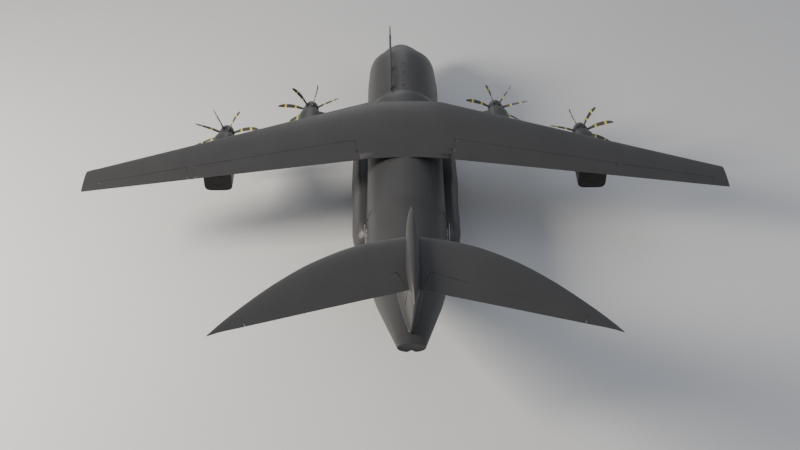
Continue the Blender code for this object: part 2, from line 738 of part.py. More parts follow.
def make_nacelle(name, side, out, station, height):
    """A solid nacelle, which stands for the engine too. It hangs below the wing and carries the shaft."""
    front = station + NACELLE_FRONT
    rings = []
    for aft, half, below, above in NACELLE:
        if above is None:
            above = wing_point(out, 0.4)[0].z - 0.05 - height
        square = min(1.0, aft / 4.5)
        ring = []
        for i in range(NACELLE_SIDES):
            a = 2 * math.pi * i / NACELLE_SIDES
            c, s = math.cos(a), math.sin(a)
            power = blend(1.0, 0.55, square)
            x = half * math.copysign(abs(c) ** power, c)
            z = (above if s > 0 else below) * math.copysign(abs(s) ** power, s)
            ring.append(at(side * out + x, front + aft, height + z))
        rings.append(ring)
    nacelle = loft(name, rings, "nacelle_paint")
    cut(nacelle, wing_solid("wing_space", SEAT))
    shaft = cylinder("shaft", at(side * out, front + 0.3, height), at(side * out, station - 0.10, height),
                     SHAFT_RADIUS, AXLE_SIDES)
    join(nacelle, shaft)
    return nacelle


def make_blade(out, station, height, angle, sense):
    """One scimitar blade, nearly feathered. Its sections run from the spinner to the tip."""
    # share of the radius, chord, twist in degrees, how far the section lies back of the blade's line
    rows = ((0.14, 0.22, 94, 0.00), (0.28, 0.30, 90, -0.03), (0.50, 0.37, 83, -0.04),
            (0.72, 0.37, 77, 0.06), (0.88, 0.30, 74, 0.18), (0.97, 0.18, 72, 0.28), (1.00, 0.08, 71, 0.33))
    radial = Vector((math.cos(angle), 0, math.sin(angle)))
    round_ = Vector((-math.sin(angle), 0, math.cos(angle))) * sense
    rings = []
    for share, chord, twist, back in rows:
        a = math.radians(twist)
        along = round_ * math.cos(a) + Vector((0, -1, 0)) * math.sin(a)
        across = round_ * -math.sin(a) + Vector((0, -1, 0)) * math.cos(a)
        centre = at(out, station, height) + radial * (share * PROP_RADIUS) - along * back
        thick = 0.10 * chord if share > 0.2 else 0.45 * chord
        rings.append([centre + along * (chord * u) + across * (thick * v) for u, v in
                      ((0.5, 0), (0.05, 0.5), (-0.5, 0), (0.05, -0.5))])
    return loft("blade", rings, "blade_composite")


def make_propeller(name, side, out, station, height, phase, sense):
    """Spinner and eight blades in one piece, bored for the shaft."""
    profile = ((-SPINNER_LENGTH + 0.35, 0), (-0.94, 0.15), (-0.84, 0.30), (-0.66, 0.42), (-0.42, 0.51),
               (-0.15, SPINNER_RADIUS), (NACELLE_FRONT - RUN, SPINNER_RADIUS))
    centre = at(side * out, station, height)
    pivots[name] = centre
    propeller = turned(name, centre, (0, 1, 0), profile, 24, "blade_composite")
    bore = SHAFT_RADIUS / math.cos(math.pi / AXLE_SIDES) + PIN_FIT
    cut(propeller, cylinder("bore", at(side * out, station + 1, height),
                            at(side * out, station - 0.10 - RUN, height), bore, AXLE_SIDES))
    for k in range(BLADES):
        # the phase is read from behind, where the starboard side lies to the right
        angle = math.pi - math.radians(phase + 360 / BLADES * k)
        join(propeller, make_blade(side * out, station, height, angle, sense))
    return propeller


def make_engines():
    for place, out, station, height, port_phase, starboard_phase, sense in ENGINES:
        for label, side, phase in (("left", 1, port_phase), ("right", -1, starboard_phase)):
            make_nacelle(f"nacelle_{place}_{label}", side, out, station, height)
            make_propeller(f"propeller_{place}_{label}", side, out, station, height, phase, sense)


def make_fin():
    """The fin stands on the tail, carries the rudder and ends in a bullet that holds the tailplane."""
    across = Vector((1, 0, 0))
    fin = loft("fin", [section(at(0, le, z), at(0, te, z), thick, 0.0, across) for z, le, te, thick in FIN])
    cut(fin, tail_body())

    def hinge(z):
        _, le, te, thick = table_at(FIN, z)
        return at(0, blend(le, te, RUDDER[2]), z), half_thickness(RUDDER[2], thick) * (te - le)

    start, r0 = hinge(RUDDER[0])
    end, r1 = hinge(RUDDER[1])
    rudder = hinged_surface("rudder", fin, start, end, (r0, r1), 5, 1.2, across, RUDDER_TURNS)

    rings = []
    for station, half, bottom, top in BULLET:
        middle, tall = (bottom + top) / 2, (top - bottom) / 2
        angles = [2 * math.pi * i / 16 for i in range(16)]
        rings.append([at(half * math.cos(a), station, middle + tall * math.sin(a)) for a in angles])
    join(fin, loft("bullet", rings))
    return fin, rudder


def tail_body():
    """The rear barrel and the tail cone as one solid, a seat larger."""
    rings = [fuselage_ring(s, SEAT) for s in stations_between(CENTRE_END, TAIL_END)]
    last = [p + Vector((0, 0.5, 0)) for p in rings[-1]]
    return loft("body", rings + [last])


def make_tailplane():
    """One tailplane through the bullet, with an elevator on each side."""
    tail = tailplane_solid("tailplane")
    (x0, s0), (x1, s1) = ELEVATOR

    def radius(x, s):
        _, le, te = table_at(TAILPLANE, x)
        return half_thickness((s - le) / (te - le), TAILPLANE_THICKNESS) * (te - le)

    start, end = at(x0, s0, TAILPLANE_HEIGHT), at(x1, s1, TAILPLANE_HEIGHT)
    radii = (radius(x0, s0), radius(x1, s1))
    up = Vector((0, 0, 1))
    hinged_surface("elevator_left", tail, start, end, radii, 3, 0.5, up, ELEVATOR_TURNS, 0.03)
    hinged_surface("elevator_right", tail, mirrored(start), mirrored(end), radii, 3, 0.5, up,
                   ELEVATOR_TURNS, 0.03)
    cut(bpy.data.objects["fin"], tailplane_solid("space", SEAT))


def tailplane_solid(name, grow=0.0):
    rings = []
    for x, le, te in [(-row[0], row[1], row[2]) for row in TAILPLANE[:0:-1]] + list(TAILPLANE):
        chord = te - le
        rings.append(section(at(x, le - grow, TAILPLANE_HEIGHT), at(x, te + grow, TAILPLANE_HEIGHT),
                             TAILPLANE_THICKNESS + 2 * grow / chord, 0.0))
    return loft(name, rings)


def sponson_ring(side, station, out, bottom, top):
    """The section outside the fuselage: flat below, bulging at the side, rounded over the top."""
    tall = top - bottom
    rows = ((0.75, bottom + 0.22), (1.45, bottom), (out - 0.80, bottom),
            (out - 0.34, bottom + 0.09 * tall), (out - 0.10, bottom + 0.26 * tall),
            (out, bottom + 0.52 * tall), (out - 0.05, bottom + 0.70 * tall),
            (out - 0.30, bottom + 0.88 * tall), (out - 0.80, top), (1.2, top - 0.1))
    return [at(side * x, station, z) for x, z in rows]


def make_sponsons():
    """A fairing on each side of the belly, open below for the wheels."""
    (s0, s1), (x0, x1), roof = WELL
    for label, side in (("left", 1), ("right", -1)):
        sponson = loft("sponson_" + label, [sponson_ring(side, *row) for row in SPONSON])
        cut(sponson, fuselage_loft("body", FORWARD_END - 1, REAR_END, SEAT))
        cut(sponson, box("well", (side * x0, s0, 0.5), (side * x1, s1, roof)))


def wheel_profile(radius, out, half):
    """Half of a twin wheel's profile, from its hub cap inwards: (distance from the leg, radius)."""
    rim = 0.56 * radius
    rows = ((out + half - 0.07, 0.90 * rim), (out + half - 0.01, rim),
            (out + half, 0.80 * radius), (out + 0.55 * half, radius), (out - 0.55 * half, radius),
            (out - half, 0.80 * radius), (out - half + 0.05, AXLE_RADIUS))
    return rows


def make_twin_wheel(name, x, station, wheel):
    """Two wheels on one axle in one piece."""
    radius, out, half = wheel
    rows = wheel_profile(radius, out, half)
    profile = [(-d, r) for d, r in rows] + [(d, r) for d, r in reversed(rows)]
    centre = at(x, station, wheel_height(wheel))
    pivots[name] = centre
    return turned(name, centre, (1, 0, 0), profile, WHEEL_SIDES, "tyre_rubber")


def wheel_height(wheel):
    """Height of an axle whose wheels stand on a flat of their faceted treads."""
    return wheel[0] * math.cos(math.pi / WHEEL_SIDES)


def axle_bore(x, station, height, reach, sides):
    radius = AXLE_RADIUS / math.cos(math.pi / sides) + PIN_FIT
    return cylinder("bore", at(x - reach, station, height), at(x + reach, station, height), radius, sides)


def make_main_gear():
    """Three legs with twin wheels on each side, hung from a beam under the well's roof."""
    (s0, s1), _, roof = WELL
    height = wheel_height(MAIN_WHEEL)
    for label, side in (("left", 1), ("right", -1)):
        x = side * MAIN_WHEEL_OUT
        beam = box("main_gear_" + label, (x - 0.22, s0 + 0.2, roof - 0.22),
                   (x + 0.22, s1 - 0.2, roof - SEAT), "gear_steel")
        for number, station in enumerate(MAIN_WHEEL_STATIONS, 1):
            brace = ((station - 0.62, roof - 0.42), (station - 0.50, roof - 0.30),
                     (station + 0.02, height + 0.12), (station - 0.06, height + 0.02))
            join(beam, cylinder("leg", at(x, station, roof - 0.1), at(x, station, height), 0.085, 16),
                 cylinder("hub", at(x - 0.11, station, height), at(x + 0.11, station, height), 0.16, 20),
                 box("arm", (x - 0.06, station - 0.62, roof - 0.4), (x + 0.06, station - 0.48, roof - 0.1)),
                 prism_at("brace", x, brace, 0.05))
            cut(beam, axle_bore(x, station, height, 0.5, WHEEL_SIDES))
            make_twin_wheel(f"main_wheels_{label}_{number}", x, station, MAIN_WHEEL)


def prism_at(name, x, outline, half_width):
    rings = [[at(x + side * half_width, s, z) for s, z in outline] for side in (-1, 1)]
    return loft(name, rings)


def make_nose_gear():
    """A fixed leg on a trunnion in the well, a steered fork below it, and twin wheels."""
    (s0, s1), half, roof = NOSE_WELL
    station, height = NOSE_WHEEL_STATION, wheel_height(NOSE_WHEEL)
    leg = cylinder("nose_gear_leg", at(0, station, 2.02), at(0, station, 1.02), 0.12, 16, "gear_steel")
    join(leg, cylinder("trunnion", at(-half + SEAT, station, 1.95), at(half - SEAT, station, 1.95),
                       0.09, 16))
    brace = ((s0 + 0.05, roof - 0.1), (s0 + 0.2, roof - 0.1), (station, 1.28), (station, 1.14))
    join(leg, prism("brace", brace, 0.05))
    join(leg, box("foot", (-0.3, s0 + SEAT, roof - 0.14), (0.3, s0 + 0.2, roof - SEAT)))
    fork = cylinder("nose_gear_fork", at(0, station, 1.02 - RUN), at(0, station, height), 0.085, 16,
                    "gear_steel")
    join(fork, cylinder("hub", at(-0.085, station, height), at(0.085, station, height), 0.15, 20))
    join(fork, cylinder("pin", at(0, station, 0.9), at(0, station, 1.20), 0.05, 16))
    cut(fork, axle_bore(0, station, height, 0.5, WHEEL_SIDES))
    pivots["nose_gear_fork"] = at(0, station, 1.0)
    cut(leg, cylinder("bore", at(0, station, 0.9), at(0, station, 1.20 + RUN),
                      0.05 / math.cos(math.pi / 16) + PIN_FIT, 16))
    make_twin_wheel("nose_wheels", 0.0, station, NOSE_WHEEL)
    for label, side in (("left", 1), ("right", -1)):
        box("nose_gear_door_" + label, (side * (half - 0.05), s0 + 0.02, 0.72),
            (side * (half - SEAT), s1 - 0.02, 1.62))


def make_probe():
    x, z, tip, step, foot = PROBE
    slim, wide = PROBE_RADII
    profile = ((0, slim * 0.6), (0.10, slim), (step - tip, slim), (step - tip + 0.1, wide),
               (foot - tip, wide))
    probe = turned("refuelling_probe", at(x, tip, z), (0, 1, 0), profile, 12, "grey_paint")
    for s in PROBE_SADDLES:
        join(probe, box("saddle", (x - 0.05, s - 0.25, z - 0.75), (x + 0.05, s + 0.25, z - 0.02)))
    cut(probe, fuselage_loft("body", COCKPIT_END - 2, FORWARD_END + 1, SEAT))


def reduce_all():
    """Brings every mesh to the model's scale, with its origin on its joint's axis if it has a joint,
    and shades its round faces smooth."""
    for obj in bpy.context.scene.collection.objects:
        if obj.type == "MESH":
            pivot = pivots.get(obj.name, Vector((0, 0, 0)))
            obj.data.transform(Matrix.Scale(SCALE, 4) @ Matrix.Translation(-pivot))
            obj.location = pivot * SCALE
            obj.data.shade_smooth()
            obj.data.set_sharp_from_angle(angle=math.radians(35))


def main():
    clear_scene()
    make_materials()
    make_fuselage()
    make_ramp()
    make_cargo_door()
    make_crew_door()
    make_para_doors()
    make_glass()
    make_floors()
    make_wing()
    make_engines()
    make_fin()
    make_tailplane()
    make_sponsons()
    make_main_gear()
    make_nose_gear()
    make_probe()
    reduce_all()


main()
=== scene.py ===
import json
import math

import bmesh
import bpy
import numpy as np
from mathutils import Matrix, Vector

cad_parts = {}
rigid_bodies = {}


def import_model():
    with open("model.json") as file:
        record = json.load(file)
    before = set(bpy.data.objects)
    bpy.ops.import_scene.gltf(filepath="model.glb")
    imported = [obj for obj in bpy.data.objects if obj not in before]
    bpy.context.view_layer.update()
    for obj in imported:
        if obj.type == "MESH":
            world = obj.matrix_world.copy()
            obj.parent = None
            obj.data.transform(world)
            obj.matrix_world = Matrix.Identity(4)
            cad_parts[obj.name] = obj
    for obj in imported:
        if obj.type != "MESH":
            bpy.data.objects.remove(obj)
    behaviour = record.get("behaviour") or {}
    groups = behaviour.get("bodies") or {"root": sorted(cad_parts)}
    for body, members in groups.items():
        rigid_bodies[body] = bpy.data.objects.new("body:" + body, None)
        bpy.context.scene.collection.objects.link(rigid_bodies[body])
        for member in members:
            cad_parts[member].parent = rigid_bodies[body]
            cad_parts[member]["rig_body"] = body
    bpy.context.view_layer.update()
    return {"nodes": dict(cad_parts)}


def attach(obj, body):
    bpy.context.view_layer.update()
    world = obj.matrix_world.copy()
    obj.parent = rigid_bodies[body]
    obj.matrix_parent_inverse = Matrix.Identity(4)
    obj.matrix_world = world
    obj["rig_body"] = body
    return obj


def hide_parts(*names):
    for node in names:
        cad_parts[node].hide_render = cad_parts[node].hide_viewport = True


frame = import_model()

SCALE = 0.5    # the model is half of full size; sizes below are full size
LENGTH = 44.9

# Fuselage sections: station, half width, belly height, crown height, height of the widest point
FUSELAGE = (
    (0.00, 0.10, 2.92, 3.12, 3.02),
    (0.12, 0.47, 2.62, 3.42, 3.00),
    (0.50, 0.97, 2.20, 3.66, 2.96),
    (1.10, 1.41, 1.90, 3.92, 2.94),
    (2.70, 2.03, 1.50, 4.50, 3.12),
    (4.35, 2.40, 1.33, 5.46, 3.46),
    (5.30, 2.53, 1.28, 6.05, 3.67),
    (7.00, 2.60, 1.25, 6.47, 3.87),
    (9.00, 2.65, 1.25, 6.55, 3.90),
    (25.20, 2.65, 1.25, 6.55, 3.90),
    (27.20, 2.62, 1.32, 6.55, 3.90),
    (29.00, 2.53, 1.85, 6.54, 4.05),
    (31.00, 2.38, 2.75, 6.52, 4.45),
    (33.00, 2.10, 3.62, 6.48, 4.85),
    (35.20, 1.57, 4.50, 6.43, 5.30),
    (38.26, 0.80, 5.68, 6.35, 6.02),
)
WALL = 0.16
FLOOR_TOP = 2.30
FLIGHT_DECK_TOP = 3.55
RAMP_HINGE = (27.42, 1.62)
RAMP_END = 32.20
RAMP_SILL = 3.44
CARGO_DOOR_HINGE = (34.89, 4.64)
CREW_DOOR = ((7.50, 8.42), (2.40, 4.20))
CREW_DOOR_HINGE = (1.063025, -7.245, 1.235)    # a point in the frame
PARA_DOOR = ((25.95, 26.95), (2.45, 4.45))
# Cockpit panes: seen from above as (x, station) rows, from the side as (station, height) rows
PANES = (
    ("above", ((0.07, 3.00), (0.80, 3.08), (0.98, 4.12), (0.07, 4.12))),
    ("side", ((3.30, 4.31), (4.02, 4.43), (4.02, 4.95), (3.86, 4.95))),
    ("side", ((4.20, 4.45), (4.85, 4.52), (4.85, 5.03), (4.20, 5.00))),
)

# Wing edges at centre, root and tip
WING_ROOT, WING_TIP = 2.64, 21.2
WING_LE = (14.12, 14.37, 21.45)
WING_TE = (20.88, 21.05, 23.60)
WING_LE_HEIGHT = (6.72, 6.68, 6.02)
WING_TE_HEIGHT = (6.66, 6.60, 5.95)
WING_THICKNESS = (0.155, 0.150, 0.110)
CAMBER = 0.015

# Surfaces on the wing: distance out of the hinge line's ends, share of the chord at the hinge
FLAP = (3.40, 14.10, 0.72)
AILERON = (14.55, 20.30, 0.72)
FLAP_DOWN = 38    # degrees

# Engines: place, distance out, station of the propeller, shaft height, blade phases, turning sense
ENGINES = (
    ("inner", 6.80, 12.37, 4.86, 28.5, 18.8, 1),
    ("outer", 12.80, 14.82, 4.42, 18.5, 28.5, -1),
)
PROP_RADIUS = 2.45
BLADES = 8
NACELLE_FRONT = 0.36
NACELLE_GAP = 0.016

# Nacelle sections: distance aft of its front, half width, bottom below and top above the shaft.
# A top of None reaches into the wing
NACELLE = (
    (0.00, 0.56, 0.56, 0.58),
    (0.30, 0.72, 0.70, 0.76),
    (0.90, 0.86, 0.82, 0.96),
    (2.60, 0.94, 0.90, 1.26),
    (3.48, 0.95, 0.88, None),
    (5.32, 0.96, 0.76, None),
)
# Bullet on top of the fin: station, half width, bottom and top height
BULLET = (
    (35.56, 0.02, 13.70, 13.76),
    (36.25, 0.19, 13.43, 13.95),
    (38.20, 0.34, 13.10, 14.16),
    (40.30, 0.37, 13.05, 14.20),
    (41.80, 0.26, 13.20, 14.08),
    (43.06, 0.02, 13.62, 13.68),
)
# Sponson: station, distance out, bottom, top
SPONSON = (
    (12.00, 2.55, 2.30, 3.40),
    (12.60, 2.95, 1.75, 3.72),
    (13.60, 3.42, 1.28, 4.00),
    (15.00, 3.68, 1.08, 4.12),
    (19.00, 3.72, 1.05, 4.14),
    (20.80, 3.62, 1.05, 4.12),
    (24.30, 3.60, 1.10, 4.06),
    (25.10, 3.48, 1.42, 3.92),
    (25.62, 3.16, 1.95, 3.66),
    (25.85, 2.60, 2.45, 3.25),
)
WELL = ((17.90, 22.70), (2.10, 3.42), 1.95)   # stations, distances out, height of the roof
NOSE_WELL = ((4.05, 5.75), 0.70, 2.20)        # stations, half width, height of the roof
PROBE = (0.92, 6.75, 3.02, 4.44, 12.40)
PROBE_RADII = (0.055, 0.085)
PROBE_SADDLES = (6.60, 9.20, 11.80)

MAIN_WHEEL_STATIONS = (18.70, 20.30, 21.90)
MAIN_WHEEL_OUT = 2.76
MAIN_WHEEL = (0.62, 0.36, 0.20)     # radius, distance of a tyre from the leg, half width
NOSE_WHEEL_STATION = 4.90
NOSE_WHEEL = (0.48, 0.27, 0.15)
WHEEL_SIDES = 20
AXLE_RADIUS = 0.09

UP, DOWN, AFT = Vector((0, 0, 1)), Vector((0, 0, -1)), Vector((0, 1, 0))
SIDES = (("left", 1), ("right", -1))
# A lashing point on a floor: height and radius of its steps
LASHING = ((0, 0.05), (0.018, 0.05), (0.022, 0.035))


def at(x, station, height):
    """A point in the frame from its distance to port, station and height, all full size."""
    return Vector((x, station - LENGTH / 2, height)) * SCALE


def blend(a, b, t):
    return a + (b - a) * t


def table_at(table, key):
    for low, high in zip(table, table[1:]):
        if key <= high[0]:
            break
    t = (key - low[0]) / (high[0] - low[0])
    return tuple(blend(a, b, t) for a, b in zip(low, high))


def curve(keys, values, at_keys, ease=True):
    """Values between table rows, along straight lines or along a smooth curve with no overshoot."""
    keys, values = np.asarray(keys, float), np.asarray(values, float)
    where = np.clip(at_keys, keys[0], keys[-1])
    if not ease or len(keys) < 3:
        return np.interp(where, keys, values)
    step = np.diff(keys)
    rise = np.diff(values) / step
    slope = np.zeros(len(keys))
    slope[0], slope[-1] = rise[0], rise[-1]
    for i in range(1, len(keys) - 1):
        if rise[i - 1] * rise[i] > 0:
            a, b = 2 * step[i] + step[i - 1], step[i] + 2 * step[i - 1]
            slope[i] = (a + b) / (a / rise[i - 1] + b / rise[i])
    k = np.clip(np.searchsorted(keys, where, side="right") - 1, 0, len(step) - 1)
    t = (where - keys[k]) / step[k]
    return ((2 * t ** 3 - 3 * t ** 2 + 1) * values[k] + (t ** 3 - 2 * t ** 2 + t) * step[k] * slope[k]
            + (3 * t ** 2 - 2 * t ** 3) * values[k + 1] + (t ** 3 - t ** 2) * step[k] * slope[k + 1])


def body_sizes(station):
    """Half width and heights of belly, crown and widest point of the smooth fuselage."""
    table = np.array(FUSELAGE)
    key = np.array([math.sqrt(max(0.0, station))])
    return [float(curve(np.sqrt(table[:, 0]), table[:, c], key)[0]) for c in (1, 2, 3, 4)]


def skin_at(station, angle, lift=0.0):
    """A point on the fuselage from an angle round it, 0 at port and 90 on top, and its normal."""
    width, belly, crown, widest = body_sizes(station)
    a = math.radians(angle)
    reach = (crown - widest) if math.sin(a) > 0 else (widest - belly)
    point = at(width * math.cos(a), station, widest + reach * math.sin(a))
    normal = Vector((math.cos(a) / width, 0, math.sin(a) / reach)).normalized()
    return point + normal * (lift * SCALE), normal


def skin_point(station, height, side=1, lift=0.0):
    """A point on the fuselage's side at a height, and the outward normal there."""
    _, belly, crown, widest = body_sizes(station)
    reach = (crown - widest) if height > widest else (widest - belly)
    angle = math.degrees(math.asin(max(-1.0, min(1.0, (height - widest) / reach))))
    return skin_at(station, angle if side > 0 else 180 - angle, lift)


# Materials

class Tree:
    """Short calls for building a material's nodes."""

    def __init__(self, name):
        self.material = bpy.data.materials.new(name)
        self.material.use_nodes = True
        self.nodes = self.material.node_tree.nodes
        self.links = self.material.node_tree.links
        self.shader = self.nodes["Principled BSDF"]

    def put(self, socket, value):
        if isinstance(value, bpy.types.NodeSocket):
            self.links.new(value, socket)
        else:
            socket.default_value = value

    def math(self, operation, *values, clamp=False):
        node = self.nodes.new("ShaderNodeMath")
        node.operation, node.use_clamp = operation, clamp
        for socket, value in zip(node.inputs, values):
            self.put(socket, value)
        return node.outputs[0]

    def coordinates(self):
        node = self.nodes.new("ShaderNodeTexCoord")
        return node.outputs["Object"]

    def axes(self, vector):
        node = self.nodes.new("ShaderNodeSeparateXYZ")
        self.links.new(vector, node.inputs[0])
        return node.outputs[0], node.outputs[1], node.outputs[2]

    def mapping(self, vector, scale):
        node = self.nodes.new("ShaderNodeMapping")
        self.links.new(vector, node.inputs["Vector"])
        node.inputs["Scale"].default_value = scale
        return node.outputs[0]

    def noise(self, vector, scale, detail=4.0, rough=0.55):
        node = self.nodes.new("ShaderNodeTexNoise")
        self.links.new(vector, node.inputs["Vector"])
        node.inputs["Scale"].default_value = scale
        node.inputs["Detail"].default_value = detail
        node.inputs["Roughness"].default_value = rough
        return node.outputs["Fac"]

    def span(self, value, low, high, to_low=0.0, to_high=1.0):
        node = self.nodes.new("ShaderNodeMapRange")
        self.links.new(value, node.inputs["Value"])
        for socket, number in zip(list(node.inputs)[1:5], (low, high, to_low, to_high)):
            socket.default_value = number
        return node.outputs[0]

    def mix(self, factor, first, second, mode="MIX"):
        node = self.nodes.new("ShaderNodeMix")
        node.data_type, node.blend_type = "RGBA", mode
        self.put(node.inputs[0], factor)
        for socket, value in ((node.inputs[6], first), (node.inputs[7], second)):
            self.put(socket, value if isinstance(value, bpy.types.NodeSocket) else (*value, 1.0))
        return node.outputs[2]

    def line(self, value, pitch, width):
        """1 on lines every pitch along a value, which fade out over the width."""
        share = self.math("FRACT", self.math("ADD", self.math("DIVIDE", value, pitch), 0.5))
        away = self.math("MULTIPLY", self.math("ABSOLUTE", self.math("SUBTRACT", share, 0.5)), pitch)
        return self.span(away, width, width * 0.35)

    def bump(self, height, strength, distance):
        node = self.nodes.new("ShaderNodeBump")
        self.put(node.inputs["Height"], height)
        node.inputs["Strength"].default_value = strength
        node.inputs["Distance"].default_value = distance
        self.links.new(node.outputs[0], self.shader.inputs["Normal"])

    def set(self, **values):
        names = {"colour": "Base Color", "rough": "Roughness", "metal": "Metallic", "ior": "IOR",
                 "coat": "Coat Weight", "coat_rough": "Coat Roughness", "clear": "Transmission Weight",
                 "specular": "Specular IOR Level", "glow": "Emission Strength",
                 "glow_colour": "Emission Color"}
        for name, value in values.items():
            if isinstance(value, tuple) and len(value) == 3:
                value = (*value, 1.0)
            self.put(self.shader.inputs[names[name]], value)
        return self.material


# Paint zones whose lines slant aft: the slant, the lines' pitch along the span or height and aft, the
# lines' width, and shift, pitch and width of the frames that show under the skin
SLANTED = {
    "wing": (0.27, 0.72, 0.46, 0.0035, 0.18, 0.24, 0.012),
    "tail": (0.38, 0.60, 0.40, 0.003, 0.15, 0.20, 0.010),
    "fin": (0.82, 0.55, 0.45, 0.003, 0.14, 0.18, 0.010),
}


def paint(name, colour, zone, rough=0.42):
    """Satin paint over panelled skin: lines between the panels, faint streaks aft and cloudy patches."""
    t = Tree(name)
    place = t.coordinates()
    x, y, z = t.axes(place)
    far = t.math("ABSOLUTE", x)
    if zone == "body":
        angle = t.math("ARCTAN2", t.math("SUBTRACT", z, 1.95), x)
        around = t.math("MULTIPLY", angle, 16 / (2 * math.pi))
        lines = t.math("MAXIMUM", t.line(y, 0.56, 0.0035), t.line(around, 1.0, 0.007))
        frames = t.line(t.math("ADD", y, 0.14), 0.28, 0.012)
    elif zone in SLANTED:
        slant, pitch, aft_pitch, width, shift, frame_pitch, frame_width = SLANTED[zone]
        along = z if zone == "fin" else far
        back = t.math("SUBTRACT", y, t.math("MULTIPLY", along, slant))
        lines = t.math("MAXIMUM", t.line(along, pitch, width), t.line(back, aft_pitch, width))
        frames = t.line(t.math("ADD", along, shift), frame_pitch, frame_width)
    else:
        lines = t.math("MAXIMUM", t.line(y, 0.42, 0.003), t.line(z, 0.36, 0.003))
        frames = t.line(t.math("ADD", y, 0.10), 0.14, 0.008)
    streaks = t.noise(t.mapping(place, (3.0, 0.28, 3.0)), 1.0, 5.0, 0.6)
    blotches = t.noise(place, 0.9, 3.0, 0.5)
    grain = t.noise(place, 60.0, 3.0, 0.6)
    light = tuple(min(1.0, c * 1.12) for c in colour)
    dark = tuple(c * 0.86 for c in colour)
    base = t.mix(t.span(blotches, 0.3, 0.7), light, colour)
    base = t.mix(t.span(streaks, 0.48, 0.80, 0.0, 0.35), base, dark)
    base = t.mix(t.math("MULTIPLY", frames, 0.10), base, dark)
    base = t.mix(t.math("MULTIPLY", lines, 0.5), base, tuple(c * 0.55 for c in colour))
    roughness = t.math("ADD", t.span(streaks, 0.3, 0.8, rough - 0.02, rough + 0.05),
                       t.span(grain, 0.3, 0.7, -0.03, 0.03))
    height = t.math("SUBTRACT", t.math("MULTIPLY", grain, 0.05), lines)
    t.bump(t.math("ADD", height, t.math("MULTIPLY", frames, -0.12)), 0.35, 0.004)
    return t.set(colour=base, rough=roughness, specular=0.45)


def plain(name, colour, rough, metal=0.0, grain=40.0, depth=0.12, wear=None, **more):
    """Paint, metal or plastic with a fine grain, cloudy colour and, if given, worn lighter spots."""
    t = Tree(name)
    place = t.coordinates()
    clouds = t.noise(place, 2.2, 4.0, 0.6)
    fine = t.noise(place, grain, 4.0, 0.6)
    base = t.mix(t.span(clouds, 0.3, 0.7), tuple(c * 0.84 for c in colour),
                 tuple(min(1, c * 1.10) for c in colour))
    if wear:
        spots = t.noise(place, grain * 0.25, 6.0, 0.7)
        base = t.mix(t.span(spots, 0.60, 0.72), base, wear)
    t.bump(fine, depth, 0.003)
    return t.set(colour=base, rough=t.span(fine, 0.3, 0.7, rough - 0.05, rough + 0.07), metal=metal, **more)


def glass(name, tint):
    t = Tree(name)
    film = t.noise(t.coordinates(), 1.6, 3.0, 0.5)
    return t.set(colour=t.mix(film, tint, tuple(c * 0.8 for c in tint)),
                 rough=t.span(film, 0.3, 0.8, 0.02, 0.07), clear=0.55, ior=1.46, coat=0.5)


